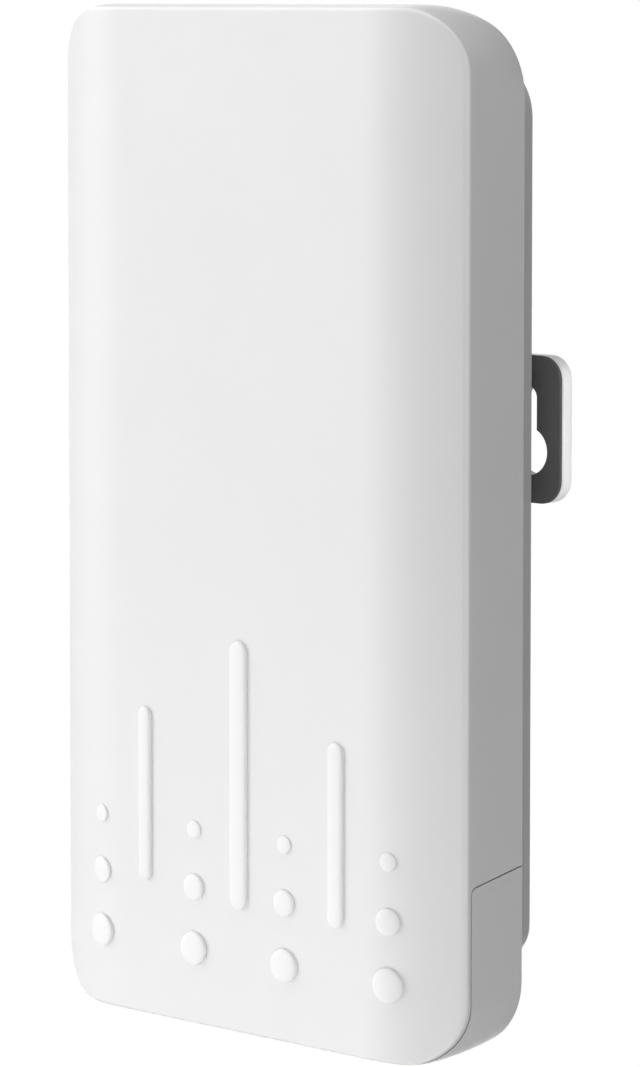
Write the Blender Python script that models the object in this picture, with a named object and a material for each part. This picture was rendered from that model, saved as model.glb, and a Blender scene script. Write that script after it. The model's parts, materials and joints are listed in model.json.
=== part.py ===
"""Outdoor wireless bridge: a bowed white housing on a keyhole wall plate.

Every piece is drawn in the housing's own frame, which hangs on the empty named housing_frame:
X to the right, Y as the depth behind the front face, Z up from the middle of the housing's height.
The world origin is the middle of the wall plate's back face.
"""

import math

import bmesh
import bpy
from mathutils import Matrix, Vector

MM = 0.001
GAP = 0.3 * MM

# Housing outline
HEIGHT = 215 * MM
HALF_HEIGHT = HEIGHT / 2
HALF_WIDTH = 56.3 * MM
FLAT_HALF_WIDTH = 34.8 * MM
BOW_DROP = 6.45 * MM
CORNER_RADIUS = 13.2 * MM
BACK_CORNER_RADIUS = 16.5 * MM
SHELL_DEPTH = 25.0 * MM
WALL = 2.3 * MM
EDGE_ROUND = 0.8 * MM
BULGE = 0.6 * MM
BULGE_DEPTH = 7.1 * MM
SIDE_TAPER = 0.5 * MM
TOP_TAPER = 1.5 * MM

# Raised pattern on the front face
BARS = (  # x, bottom, top, width
    (-27.0 * MM, -78.4 * MM, -41.1 * MM, 3.4 * MM),
    (0.0, -81.2 * MM, -24.4 * MM, 4.6 * MM),
    (27.0 * MM, -81.2 * MM, -42.8 * MM, 4.0 * MM),
)
BAR_RISE = 0.9 * MM
DOT_COLUMNS = (-40.4 * MM, -12.9 * MM, 12.7 * MM, 40.7 * MM)
DOT_ROWS = ((-65.8 * MM, 3.8 * MM), (-78.1 * MM, 5.6 * MM), (-91.2 * MM, 7.1 * MM))  # z, diameter
DOT_RISE = 0.18  # of the diameter
SUNK = 0.15 * MM  # how far the middle of a raised shape lies inside the face

# Port cover
RIM = 1.55 * MM  # front shell left in front of the cover's joint line
COVER_LINE_FRONT = -70.4 * MM
COVER_LINE_BACK = -68.0 * MM
COVER_CLEARANCE = 0.15 * MM
INLET_Y = 14 * MM  # depth of the cable inlet's middle
INLET_HALF_LENGTH = 11 * MM
INLET_RADIUS = 5.5 * MM

# Rear shell
PLATEAU_DEPTH = 7.5 * MM
PLATEAU_BASE_INSET = 1.0 * MM
PLATEAU_DRAFT = 2.5 * MM
PLATEAU_TOP = 97.0 * MM
PLATEAU_BOTTOM = -90.0 * MM
PLATEAU_WALL = 2.2 * MM
PLATEAU_TOP_RADIUS = 12 * MM
PLATEAU_BOTTOM_RADIUS = 8 * MM
PLATEAU_BACK = SHELL_DEPTH + PLATEAU_DEPTH
FLANGE_STEP = 0.2 * MM  # how far the rear shell's flange stands behind the front shell's back edge
HEAD_RECESS = 3 * MM

# Wall plate
PLATE_Z = 20.4 * MM
PLATE_HALF_WIDTH = 55.7 * MM
PLATE_HEIGHT = 30.7 * MM
PLATE_THICKNESS = 3.2 * MM
PLATE_CORNER = 5 * MM
PAD_THICKNESS = 0.8 * MM
STANDOFF = 4.5 * MM  # room for a wall screw's head behind the housing
SADDLE_HALF_WIDTH = 28 * MM
SADDLE_HEIGHT = 22 * MM
SADDLE_CORNER = 3 * MM
PLATE_RECESS = 2.1 * MM  # depth of the screw heads' recesses in the plate's back
KEYHOLE_X = 47.3 * MM
KEYHOLE_ROUND_Z = -4.6 * MM  # from the plate's middle
KEYHOLE_SLOT_Z = 6.6 * MM
KEYHOLE_ROUND_RADIUS = 5 * MM
KEYHOLE_SLOT_RADIUS = 2.25 * MM
PAD_FRONT = PLATEAU_BACK + STANDOFF
PLATE_FRONT = PAD_FRONT + PAD_THICKNESS + GAP
PLATE_BACK = PLATE_FRONT + PLATE_THICKNESS

# Port bay
BULKHEAD_TOP = -65.5 * MM
BULKHEAD = 2.0 * MM
BULKHEAD_BOTTOM = BULKHEAD_TOP - BULKHEAD
BULKHEAD_BACK = 21.0 * MM
LEDGE_FRONT = 18.5 * MM
LEDGE_INNER_INSET = 2.2 * MM

# Main board, which lies in the lower half
BOARD_FRONT = 5.5 * MM
BOARD_THICKNESS = 1.6 * MM
BOARD_BACK = BOARD_FRONT + BOARD_THICKNESS
BOARD_HALF_WIDTH = 38 * MM
BOARD_BOTTOM = -64 * MM
BOARD_TOP = -2 * MM
ON_BOARD = BOARD_BACK + GAP
BOARD_SCREWS = [(x, z) for x in (-34.5 * MM, 34.5 * MM) for z in (-60 * MM, -6 * MM)]

JACK_SIZE = (16 * MM, 12.2 * MM, 21 * MM)
JACK_BOTTOM = -72 * MM
JACKS = {"lan_jack_poe": -22 * MM, "lan_jack_data": -4 * MM}
RESET_X = 12 * MM
MODE_X = 23 * MM
LIGHTS_X = 36 * MM
LIGHT_PITCH = 4.5 * MM
LIGHTS = [LIGHTS_X + i * LIGHT_PITCH for i in (-1, 0, 1)]
BUTTON_Y = 12 * MM
RESET_TRAVEL = 0.8 * MM
MODE_TRAVEL = 2.0 * MM

# Antenna, which fills the upper half
FEED_FRONT = 10.8 * MM
FEED_THICKNESS = 1.0 * MM
REFLECTOR_FRONT = FEED_FRONT + FEED_THICKNESS + GAP
REFLECTOR_THICKNESS = 1.2 * MM
REFLECTOR_BACK = REFLECTOR_FRONT + REFLECTOR_THICKNESS
ANTENNA_HALF_WIDTH = 39 * MM
ANTENNA_TOP = 98 * MM
REFLECTOR_BOTTOM = 12 * MM
FEED_BOTTOM = 3 * MM
PATCH_FRONT = 5.2 * MM
PATCH_BACK = PATCH_FRONT + 0.6 * MM
PATCH_SIZE = 25 * MM
PATCH_CUT = 4 * MM  # two cut corners, which give circular polarisation
PATCHES = [(x, z) for x in (-19 * MM, 19 * MM) for z in (33 * MM, 76 * MM)]
ANTENNA_SCREWS = [(x, z) for x in (-35.5 * MM, 35.5 * MM) for z in (16 * MM, 94 * MM)]

SHELL_SCREWS = [(x, z) for x in (-45 * MM, 45 * MM) for z in (-60 * MM, -4 * MM, 86 * MM)]
PLATE_SCREWS = (-16 * MM, 16 * MM)

# Screws: head radius, head height, shank radius
LARGE_SCREW = (2.8 * MM, 1.7 * MM, 1.4 * MM)
SMALL_SCREW = (2.2 * MM, 1.3 * MM, 1.1 * MM)
SLOT_DEPTH = 0.9 * MM
SHANK_CLEARANCE = 0.35 * MM
LARGE_BORE = LARGE_SCREW[2] + SHANK_CLEARANCE
SMALL_BORE = SMALL_SCREW[2] + 0.4 * MM

# Front shell's screw bosses: radius, bore radius, bore depth
LARGE_BOSS = (3.8 * MM, LARGE_BORE, 13 * MM)
SMALL_BOSS = (3.0 * MM, SMALL_BORE, 4.5 * MM)

ARC_STEPS = 10
ACROSS_STEPS = 24
ROUND_STEPS = 24


def clear_scene():
    for obj in list(bpy.data.objects):
        bpy.data.objects.remove(obj)


def collection(name):
    made = bpy.data.collections.new(name)
    bpy.context.scene.collection.children.link(made)
    return made


clear_scene()
PARTS = collection("outdoor_wireless_bridge")
CUTTERS = collection("cutters")
FRAME = bpy.data.objects.new("housing_frame", None)
FRAME.location = (0, -PLATE_BACK, -PLATE_Z)
PARTS.objects.link(FRAME)


def material(name, colour, roughness, metallic=0.0, alpha=1.0):
    made = bpy.data.materials.new(name)
    made.use_nodes = True
    shader = made.node_tree.nodes["Principled BSDF"]
    shader.inputs["Base Color"].default_value = (*colour, 1)
    shader.inputs["Roughness"].default_value = roughness
    shader.inputs["Metallic"].default_value = metallic
    shader.inputs["Alpha"].default_value = alpha
    made.diffuse_color = (*colour, alpha)
    return made


WHITE = material("white_plastic", (0.86, 0.86, 0.86), 0.42)
DARK_PAD = material("dark_rubber", (0.06, 0.06, 0.06), 0.75)
SEAL = material("seal_rubber", (0.10, 0.10, 0.11), 0.7)
BOARD_GREEN = material("board_green", (0.03, 0.16, 0.08), 0.45)
FEED_WHITE = material("feed_laminate", (0.72, 0.70, 0.60), 0.5)
STEEL = material("zinc_steel", (0.62, 0.63, 0.65), 0.3, 1.0)
TIN = material("tin_plate", (0.70, 0.71, 0.72), 0.28, 1.0)
ALUMINIUM = material("aluminium", (0.75, 0.76, 0.77), 0.35, 1.0)
COPPER = material("plated_copper", (0.80, 0.62, 0.38), 0.35, 1.0)
BLACK = material("black_plastic", (0.03, 0.03, 0.03), 0.5)
NYLON = material("natural_nylon", (0.80, 0.78, 0.70), 0.55)
CLEAR = material("clear_plastic", (0.85, 0.88, 0.90), 0.15, 0.0, 0.4)
THERMAL = material("thermal_silicone", (0.35, 0.45, 0.62), 0.8)
COAX_BLACK = material("coax_jacket", (0.04, 0.04, 0.045), 0.45)


def add(name, mesh, finish=None, location=(0, 0, 0)):
    """Links a mesh drawn in the housing frame as a part, or as a cutter when it has no finish."""
    obj = bpy.data.objects.new(name, mesh)
    obj.parent = FRAME
    mesh.transform(Matrix.Translation(-Vector(location)))
    obj.location = location
    if finish is None:
        CUTTERS.objects.link(obj)
        obj.hide_render = True
        obj.display_type = "WIRE"
        return obj
    PARTS.objects.link(obj)
    mesh.materials.append(finish)
    mesh.shade_smooth()
    mesh.set_sharp_from_angle(angle=math.radians(35))
    return obj


def to_mesh(name, bm):
    bmesh.ops.recalc_face_normals(bm, faces=bm.faces)
    mesh = bpy.data.meshes.new(name)
    bm.to_mesh(mesh)
    bm.free()
    return mesh


def block(bm, x, y, z):
    """A box between three pairs of limits."""
    size = [high - low for low, high in (x, y, z)]
    middle = [(high + low) / 2 for low, high in (x, y, z)]
    bmesh.ops.create_cube(bm, size=1, matrix=Matrix.Translation(middle) @ Matrix.Diagonal((*size, 1)))


def peg(bm, radius, start, end, segments=ROUND_STEPS, end_radius=None):
    """A round peg or cone between two points."""
    start, end = Vector(start), Vector(end)
    turn = (end - start).to_track_quat("Z", "Y").to_matrix().to_4x4()
    bmesh.ops.create_cone(
        bm,
        cap_ends=True,
        segments=segments,
        radius1=radius,
        radius2=radius if end_radius is None else end_radius,
        depth=(end - start).length,
        matrix=Matrix.Translation((start + end) / 2) @ turn,
    )


def extrusion(bm, outline, low, high):
    """A flat outline of (x, z) points, extruded along the depth."""
    face = bm.faces.new([bm.verts.new((x, low, z)) for x, z in outline])
    grown = bmesh.ops.extrude_face_region(bm, geom=[face])
    moved = [item for item in grown["geom"] if isinstance(item, bmesh.types.BMVert)]
    bmesh.ops.translate(bm, verts=moved, vec=(0, high - low, 0))


def solid(name, finish, draw, *sizes, location=(0, 0, 0), **options):
    """One object drawn by block, peg or extrusion."""
    bm = bmesh.new()
    draw(bm, *sizes, **options)
    return add(name, to_mesh(name, bm), finish, location)


def combine(obj, other, operation):
    step = obj.modifiers.new(other.name, "BOOLEAN")
    step.operation = operation
    step.solver = "EXACT"
    step.object = other


def cut(obj, *others):
    for other in others:
        combine(obj, other, "DIFFERENCE")


def join(obj, *others):
    for other in others:
        combine(obj, other, "UNION")


def arc(centre, radius, start, end, steps=ARC_STEPS):
    """Points of (x, z) along an arc between two angles in degrees."""
    angles = [math.radians(start + (end - start) * i / steps) for i in range(steps + 1)]
    return [(centre[0] + radius * math.cos(a), centre[1] + radius * math.sin(a)) for a in angles]


def rounded_rectangle(half_width, bottom, top, radius, steps=6):
    right, left = half_width - radius, radius - half_width
    return (
        arc((right, bottom + radius), radius, -90, 0, steps)
        + arc((right, top - radius), radius, 0, 90, steps)
        + arc((left, top - radius), radius, 90, 180, steps)
        + arc((left, bottom + radius), radius, 180, 270, steps)
    )


def bow(x):
    """How far the front face lies behind its flat middle at x."""
    past = max(0.0, abs(x) - FLAT_HALF_WIDTH) / (HALF_WIDTH - FLAT_HALF_WIDTH)
    return BOW_DROP * past**2


def corner_drop(x, half_width, radius):
    over = max(0.0, abs(x) - (half_width - radius))
    return radius - math.sqrt(max(0.0, radius**2 - over**2))


def ring(half_width, top, bottom, top_radius, depth, bottom_radius=None):
    """A closed rounded rectangle whose depth may change with x. Its top and bottom share their x values."""
    bottom_radius = bottom_radius or top_radius
    radius = max(top_radius, bottom_radius)
    turn = [math.radians(90 * i / ARC_STEPS) for i in range(ARC_STEPS)]
    left = [-(half_width - radius) - radius * math.cos(a) for a in turn]
    flat = 2 * (half_width - radius)
    middle = [flat * (i / ACROSS_STEPS - 0.5) for i in range(ACROSS_STEPS + 1)]
    across = left + middle + [-x for x in reversed(left)]
    deep = depth if callable(depth) else lambda x: depth
    upper = [(x, deep(x), top - corner_drop(x, half_width, top_radius)) for x in across]
    lower = [(x, deep(x), bottom + corner_drop(x, half_width, bottom_radius)) for x in across]
    return upper + lower[::-1]


def loft(name, rings, finish=None, location=(0, 0, 0)):
    """A closed solid through rings from front to back. Flat strips from top to bottom close both ends."""
    bm = bmesh.new()
    loops = [[bm.verts.new(point) for point in points] for points in rings]
    count = len(loops[0])
    for near, far in zip(loops, loops[1:]):
        for i in range(count):
            j = (i + 1) % count
            bm.faces.new((near[i], near[j], far[j], far[i]))
    for loop in (loops[0], loops[-1]):
        for i in range(count // 2 - 1):
            bm.faces.new((loop[i], loop[i + 1], loop[count - 2 - i], loop[count - 1 - i]))
    return add(name, to_mesh(name, bm), finish, location)


def body_rings(inset=0.0, front=0.0, back=SHELL_DEPTH):
    """The housing's outer form, shrunk by inset, from front behind the bowed face to back."""
    half, high = HALF_WIDTH - inset, HALF_HEIGHT - inset
    radius = CORNER_RADIUS - inset
    rounding = 0.0 if inset else EDGE_ROUND
    return [
        ring(half - rounding, high - rounding, -high + rounding, radius - rounding, lambda x: bow(x) + front),
        ring(half, high, -high, radius, lambda x: bow(x) + front + EDGE_ROUND),
        ring(
            half + BULGE,
            high + BULGE,
            -high - BULGE,
            radius + BULGE,
            lambda x: BULGE_DEPTH + front / 2 + 0.6 * bow(x),
        ),
        ring(half - SIDE_TAPER, high - TOP_TAPER, -high, BACK_CORNER_RADIUS - inset, back),
    ]


def cover_prism(name, clearance):
    """The space of the port cover: behind the rim, below the joint line that rises to the back."""
    bm = bmesh.new()
    wide, deep, low = HALF_WIDTH + 5 * MM, SHELL_DEPTH + 5 * MM, -HALF_HEIGHT - 5 * MM
    slope = (COVER_LINE_BACK - COVER_LINE_FRONT) / (SHELL_DEPTH - BOW_DROP - RIM)
    columns = []
    for i in range(2 * ACROSS_STEPS + 1):
        x = wide * (i / ACROSS_STEPS - 1)
        front = bow(min(abs(x), HALF_WIDTH + BULGE)) + RIM + clearance
        corners = []
        for y in (front, deep):
            line = COVER_LINE_FRONT + slope * (y - BOW_DROP - RIM) - clearance
            corners += [(x, y, low), (x, y, line)]
        columns.append([bm.verts.new(point) for point in corners])
    for here, there in zip(columns, columns[1:]):
        for a, b in ((0, 1), (1, 3), (3, 2), (2, 0)):
            bm.faces.new((here[a], here[b], there[b], there[a]))
    for here in (columns[0], columns[-1]):
        bm.faces.new((here[0], here[1], here[3], here[2]))
    return add(name, to_mesh(name, bm))


def plateau_rings(inset, front, back):
    base = HALF_WIDTH - SIDE_TAPER - PLATEAU_BASE_INSET
    half = base - PLATEAU_DRAFT
    return [
        ring(
            base - inset,
            PLATEAU_TOP + PLATEAU_DRAFT - inset,
            PLATEAU_BOTTOM - PLATEAU_DRAFT + inset,
            PLATEAU_TOP_RADIUS + PLATEAU_DRAFT - inset,
            front,
            PLATEAU_BOTTOM_RADIUS + PLATEAU_DRAFT - inset,
        ),
        ring(
            half - inset,
            PLATEAU_TOP - inset,
            PLATEAU_BOTTOM + inset,
            PLATEAU_TOP_RADIUS - inset,
            back,
            PLATEAU_BOTTOM_RADIUS - inset,
        ),
    ]


def raised_ball(name, x, z, diameter, rise, length=0.0):
    """A ball flattened onto the bowed face, and drawn out to length along Z for a bar with round ends."""
    bm = bmesh.new()
    radius = diameter / 2
    bmesh.ops.create_uvsphere(bm, u_segments=14, v_segments=9, radius=radius)
    for vert in bm.verts:
        vert.co.z += math.copysign(max(0.0, length - diameter) / 2, vert.co.z)
    tilt = Matrix.Rotation(math.atan2(bow(x + MM) - bow(x - MM), 2 * MM), 4, "Z")
    flatten = Matrix.Diagonal((1, (rise + SUNK) / radius, 1, 1))
    bm.transform(Matrix.Translation((x, bow(x) + SUNK, z)) @ tilt @ flatten)
    return add(name, to_mesh(name, bm))


def add_bosses(shell):
    """Screw bosses on the inside of the bowed face, and the bores that run into them from behind."""
    bosses = [(x, z, SHELL_DEPTH - 2.6 * MM, LARGE_BOSS) for x, z in SHELL_SCREWS]
    bosses += [(x, z, BOARD_FRONT - GAP, SMALL_BOSS) for x, z in BOARD_SCREWS]
    bosses += [(x, z, FEED_FRONT - GAP, SMALL_BOSS) for x, z in ANTENNA_SCREWS]
    for i, (x, z, top, (radius, _, _)) in enumerate(bosses):
        start = bow(abs(x) + radius) + 0.1 * MM
        join(shell, solid(f"boss_{i}", None, peg, radius, (x, start, z), (x, top, z), segments=16))
    for i, (x, z, top, (_, bore, depth)) in enumerate(bosses):
        ends = (x, top - depth, z), (x, top + MM, z)
        cut(shell, solid(f"pilot_{i}", None, peg, bore, *ends, segments=12))


def open_bulkhead(shell):
    """The holes in the bulkhead for the sockets, the reset button, the mode slider and the lights."""
    low, high = BULKHEAD_BOTTOM - MM, BULKHEAD_TOP + MM
    jack_deep = (ON_BOARD - GAP, ON_BOARD + JACK_SIZE[1] + GAP)
    for i, x in enumerate(JACKS.values()):
        half = JACK_SIZE[0] / 2 + GAP
        cut(shell, solid(f"jack_hole_{i}", None, block, (x - half, x + half), jack_deep, (low, high)))
    ends = (RESET_X, BUTTON_Y, low), (RESET_X, BUTTON_Y, high)
    cut(shell, solid("reset_hole", None, peg, 2.1 * MM, *ends))
    half, deep = 2.6 * MM, 1.5 * MM
    slot = (MODE_X - half, MODE_X + half), (BUTTON_Y - deep, BUTTON_Y + deep), (low, high)
    cut(shell, solid("mode_hole", None, block, *slot))
    for i, x in enumerate(LIGHTS):
        ends = (x, BUTTON_Y, low), (x, BUTTON_Y, high)
        cut(shell, solid(f"light_hole_{i}", None, peg, 1.5 * MM, *ends, segments=12))


def make_front_shell():
    shell = loft("front_shell", body_rings(), WHITE)
    cavity = loft("front_cavity", body_rings(WALL, WALL, SHELL_DEPTH + MM))
    across = (-HALF_WIDTH - MM, HALF_WIDTH + MM)
    slab = solid("bulkhead", None, block, across, (-MM, BULKHEAD_BACK), (BULKHEAD_BOTTOM, BULKHEAD_TOP))
    cut(cavity, slab)
    cut(shell, cavity)
    ledge = loft("gasket_ledge", tube_rings(-0.5 * MM, LEDGE_FRONT, BULKHEAD_BACK))
    hollow = tube_rings(LEDGE_INNER_INSET, LEDGE_FRONT - 1.5 * MM, BULKHEAD_BACK + 2 * MM)
    cut(ledge, loft("gasket_ledge_hollow", hollow))
    join(shell, ledge)
    add_bosses(shell)
    cut(shell, cover_prism("cover_space", 0.0))
    open_bulkhead(shell)
    for i, (x, bottom, top, width) in enumerate(BARS):
        join(shell, raised_ball(f"bar_{i}", x, (top + bottom) / 2, width, BAR_RISE, top - bottom))
    for i, x in enumerate(DOT_COLUMNS):
        for j, (z, diameter) in enumerate(DOT_ROWS):
            join(shell, raised_ball(f"dot_{i}_{j}", x, z, diameter, DOT_RISE * diameter))


def tube_rings(inset, front, back):
    """The sealed space's outline, inside the side walls and above the bulkhead."""
    half = HALF_WIDTH - SIDE_TAPER - WALL - inset
    top = HALF_HEIGHT - TOP_TAPER - WALL - inset
    bottom = BULKHEAD_BOTTOM + inset
    return [ring(half, top, bottom, 12 * MM - inset, depth, 3 * MM - inset) for depth in (front, back)]


def make_gasket():
    """A flat ring of rubber between the front shell's ledge and the rear shell."""
    front, back = BULKHEAD_BACK + GAP, SHELL_DEPTH - WALL - GAP
    gasket = loft("shell_gasket", tube_rings(0.6 * MM, front, back), SEAL)
    cut(gasket, loft("gasket_hollow", tube_rings(1.8 * MM, front - MM, back + MM)))


def make_rear_shell():
    half = HALF_WIDTH - SIDE_TAPER - WALL - GAP
    top = HALF_HEIGHT - TOP_TAPER - WALL - GAP
    bottom = PLATEAU_BOTTOM - PLATEAU_DRAFT
    radius = BACK_CORNER_RADIUS - WALL
    front = SHELL_DEPTH - WALL
    depths = (front, SHELL_DEPTH + FLANGE_STEP)
    flange = [ring(half, top, bottom, radius, depth, PLATEAU_BOTTOM_RADIUS) for depth in depths]
    shell = loft("rear_shell", flange, WHITE)
    join(shell, loft("plateau", plateau_rings(0.0, SHELL_DEPTH + GAP / 2, PLATEAU_BACK)))
    hollow = loft("plateau_hollow", plateau_rings(PLATEAU_WALL + MM, front - MM, PLATEAU_BACK - PLATEAU_WALL))
    cut(shell, hollow)
    boss_back = PLATEAU_BACK - MM
    for i, (x, z) in enumerate(SHELL_SCREWS):
        ends = (x, front, z), (x, boss_back, z)
        join(shell, solid(f"rear_boss_{i}", None, peg, 4.6 * MM, *ends, segments=20))
    for i, x in enumerate(PLATE_SCREWS):
        ends = (x, SHELL_DEPTH - MM, PLATE_Z), (x, boss_back, PLATE_Z)
        join(shell, solid(f"plate_boss_{i}", None, peg, 3.6 * MM, *ends, segments=16))
    for i, (x, z) in enumerate(SHELL_SCREWS):
        shank = (x, front - 2.7 * MM, z), (x, boss_back - MM, z)
        head = (x, PLATEAU_BACK - HEAD_RECESS, z), (x, PLATEAU_BACK + MM, z)
        cut(shell, solid(f"shank_hole_{i}", None, peg, LARGE_BORE, *shank, segments=12))
        cut(shell, solid(f"head_hole_{i}", None, peg, 3.2 * MM, *head, segments=20))
    for i, x in enumerate(PLATE_SCREWS):
        hole = (x, PLATEAU_BACK - 7 * MM, PLATE_Z), (x, PLATEAU_BACK + MM, PLATE_Z)
        cut(shell, solid(f"plate_pilot_{i}", None, peg, LARGE_BORE, *hole, segments=12))


def make_port_cover():
    """The bottom cap with its two side walls and a low back wall."""
    cover = loft("port_cover", body_rings(), WHITE, (0, 15 * MM, -90 * MM))
    combine(cover, cover_prism("cover_limits", COVER_CLEARANCE), "INTERSECT")
    half, floor = HALF_WIDTH - SIDE_TAPER - WALL, -HALF_HEIGHT + WALL
    front, back = -2 * MM, SHELL_DEPTH - WALL
    hollow = [ring(half, 0.0, floor, 9 * MM, depth) for depth in (front, back)]
    cut(cover, loft("cover_hollow", hollow))
    edge = PLATEAU_BOTTOM - PLATEAU_DRAFT - GAP
    depths = (back - MM, SHELL_DEPTH + 2 * MM)
    notch = [ring(half, 0.0, edge, 5 * MM, depth, PLATEAU_BOTTOM_RADIUS) for depth in depths]
    cut(cover, loft("cover_notch", notch))
    opening = rounded_slot(INLET_HALF_LENGTH, INLET_RADIUS)
    cut(cover, floor_extrusion("cable_opening", None, opening, -HALF_HEIGHT - 2 * MM, floor + 2 * MM))


def make_grommet():
    """The rubber cable inlet in the cover's floor, with a wide lip inside."""
    low, floor = -HALF_HEIGHT - BULGE, -HALF_HEIGHT + WALL
    inner = rounded_slot(INLET_HALF_LENGTH - GAP, INLET_RADIUS - GAP)
    grommet = floor_extrusion("cable_grommet", SEAL, inner, low + 0.4 * MM, floor + 0.8 * MM)
    lip = rounded_slot(INLET_HALF_LENGTH + 1.6 * MM, INLET_RADIUS + 1.5 * MM)
    join(grommet, floor_extrusion("grommet_lip", None, lip, floor + GAP, floor + 1.6 * MM))
    passage = rounded_slot(INLET_HALF_LENGTH - 3 * MM, INLET_RADIUS - 2.3 * MM)
    cut(grommet, floor_extrusion("cable_passage", None, passage, low - MM, floor + 3 * MM))


def rounded_slot(half_length, radius):
    """An oblong of (x, y) points about the cable inlet's middle."""
    straight = half_length - radius
    return arc((straight, 0), radius, -90, 90, 10) + arc((-straight, 0), radius, 90, 270, 10)


def floor_extrusion(name, finish, outline, low, high):
    """An outline in the floor's plane, extruded upward at the cable inlet."""
    bm = bmesh.new()
    face = bm.faces.new([bm.verts.new((x, INLET_Y + y, low)) for x, y in outline])
    grown = bmesh.ops.extrude_face_region(bm, geom=[face])
    moved = [item for item in grown["geom"] if isinstance(item, bmesh.types.BMVert)]
    bmesh.ops.translate(bm, verts=moved, vec=(0, 0, high - low))
    return add(name, to_mesh(name, bm), finish)


def keyhole(x):
    """A round entry below a narrow slot, on the plate's end at x."""
    entry, slot = KEYHOLE_ROUND_RADIUS, KEYHOLE_SLOT_RADIUS
    meet = math.degrees(math.acos(slot / entry))
    low, high = PLATE_Z + KEYHOLE_ROUND_Z, PLATE_Z + KEYHOLE_SLOT_Z
    return arc((x, low), entry, 180 - meet, 360 + meet, 18) + arc((x, high), slot, 0, 180, 8)


def saddle_outline(grow):
    half = SADDLE_HEIGHT / 2 + grow
    return rounded_rectangle(SADDLE_HALF_WIDTH + grow, PLATE_Z - half, PLATE_Z + half, SADDLE_CORNER + grow)


def make_plate():
    """The wall plate with the saddle that holds it off the housing, its pad, and their keyholes."""
    low, high = PLATE_Z - PLATE_HEIGHT / 2, PLATE_Z + PLATE_HEIGHT / 2
    outline = rounded_rectangle(PLATE_HALF_WIDTH, low, high, PLATE_CORNER)
    plate = solid("wall_bracket", WHITE, extrusion, outline, PLATE_FRONT, PLATE_BACK)
    pad = solid("bracket_pad", DARK_PAD, extrusion, outline, PAD_FRONT, PAD_FRONT + PAD_THICKNESS)
    saddle = saddle_outline(0.0)
    join(plate, solid("saddle", None, extrusion, saddle, PLATEAU_BACK + GAP, PLATE_FRONT + MM))
    window = saddle_outline(GAP)
    cut(pad, solid("saddle_window", None, extrusion, window, PAD_FRONT - MM, PLATE_BACK))
    for side, x in (("left", -KEYHOLE_X), ("right", KEYHOLE_X)):
        hole = solid(f"keyhole_{side}", None, extrusion, keyhole(x), PAD_FRONT - MM, PLATE_BACK + MM)
        cut(plate, hole)
        cut(pad, hole)
    for i, x in enumerate(PLATE_SCREWS):
        shank = (x, PLATEAU_BACK - MM, PLATE_Z), (x, PLATE_BACK, PLATE_Z)
        recess = (x, PLATE_BACK - PLATE_RECESS, PLATE_Z), (x, PLATE_BACK + MM, PLATE_Z)
        cut(plate, solid(f"plate_hole_{i}", None, peg, LARGE_BORE, *shank, segments=16))
        cut(plate, solid(f"plate_recess_{i}", None, peg, 3.3 * MM, *recess))


def screw(name, x, z, head_front, shank_length, size):
    """A pan-head screw with a cross recess, driven in from the back."""
    head_radius, head, shank_radius = size
    seat, back = (x, head_front, z), head_front + head
    crown = head_radius * 0.8
    shape = {"location": seat, "segments": 20, "end_radius": crown}
    body = solid(name, STEEL, peg, head_radius, seat, (x, back, z), **shape)
    shank = (x, head_front - shank_length, z), (x, head_front + head / 2, z)
    join(body, solid(f"{name}_shank", None, peg, shank_radius, *shank, segments=12))
    wide, narrow = head_radius * 0.55, head_radius * 0.13
    depth = (back - SLOT_DEPTH, back + MM)
    cut(body, solid(f"{name}_slot_a", None, block, (x - wide, x + wide), depth, (z - narrow, z + narrow)))
    cut(body, solid(f"{name}_slot_b", None, block, (x - narrow, x + narrow), depth, (z - wide, z + wide)))


def make_screws():
    for i, (x, z) in enumerate(SHELL_SCREWS):
        screw(f"shell_screw_{i + 1}", x, z, PLATEAU_BACK - HEAD_RECESS + GAP, 17 * MM, LARGE_SCREW)
    for i, x in enumerate(PLATE_SCREWS):
        screw(f"bracket_screw_{i + 1}", x, PLATE_Z, PLATE_BACK - PLATE_RECESS + GAP, 12 * MM, LARGE_SCREW)
    for i, (x, z) in enumerate(BOARD_SCREWS):
        screw(f"pcb_screw_{i + 1}", x, z, BOARD_BACK + GAP, 5.2 * MM, SMALL_SCREW)
    for i, (x, z) in enumerate(ANTENNA_SCREWS):
        screw(f"antenna_screw_{i + 1}", x, z, REFLECTOR_BACK + GAP, 6 * MM, SMALL_SCREW)


def drill(obj, name, places, radius, front, back):
    for i, (x, z) in enumerate(places):
        cut(obj, solid(f"{name}_{i}", None, peg, radius, (x, front - MM, z), (x, back + MM, z), segments=12))


def make_board():
    """The main board with its screw holes."""
    outline = rounded_rectangle(BOARD_HALF_WIDTH, BOARD_BOTTOM, BOARD_TOP, 2 * MM, 3)
    board = solid("main_pcb", BOARD_GREEN, extrusion, outline, BOARD_FRONT, BOARD_BACK)
    drill(board, "board_hole", BOARD_SCREWS, 1.4 * MM, BOARD_FRONT, BOARD_BACK)


def make_jack(name, x):
    """A network socket with its mouth and latch notch facing down."""
    wide, tall, deep = JACK_SIZE
    top = JACK_BOTTOM + deep
    jack = solid(
        name,
        TIN,
        block,
        (x - wide / 2, x + wide / 2),
        (ON_BOARD, ON_BOARD + tall),
        (JACK_BOTTOM, top),
        location=(x, ON_BOARD, JACK_BOTTOM),
    )
    mouth = JACK_BOTTOM - MM, JACK_BOTTOM + 14.5 * MM
    plug = (x - 6 * MM, x + 6 * MM), (ON_BOARD + 2 * MM, ON_BOARD + 9.2 * MM), mouth
    latch = (x - 3 * MM, x + 3 * MM), (ON_BOARD + 9 * MM, ON_BOARD + 11.2 * MM), mouth
    cut(jack, solid(f"{name}_mouth", None, block, *plug), solid(f"{name}_latch", None, block, *latch))


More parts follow.
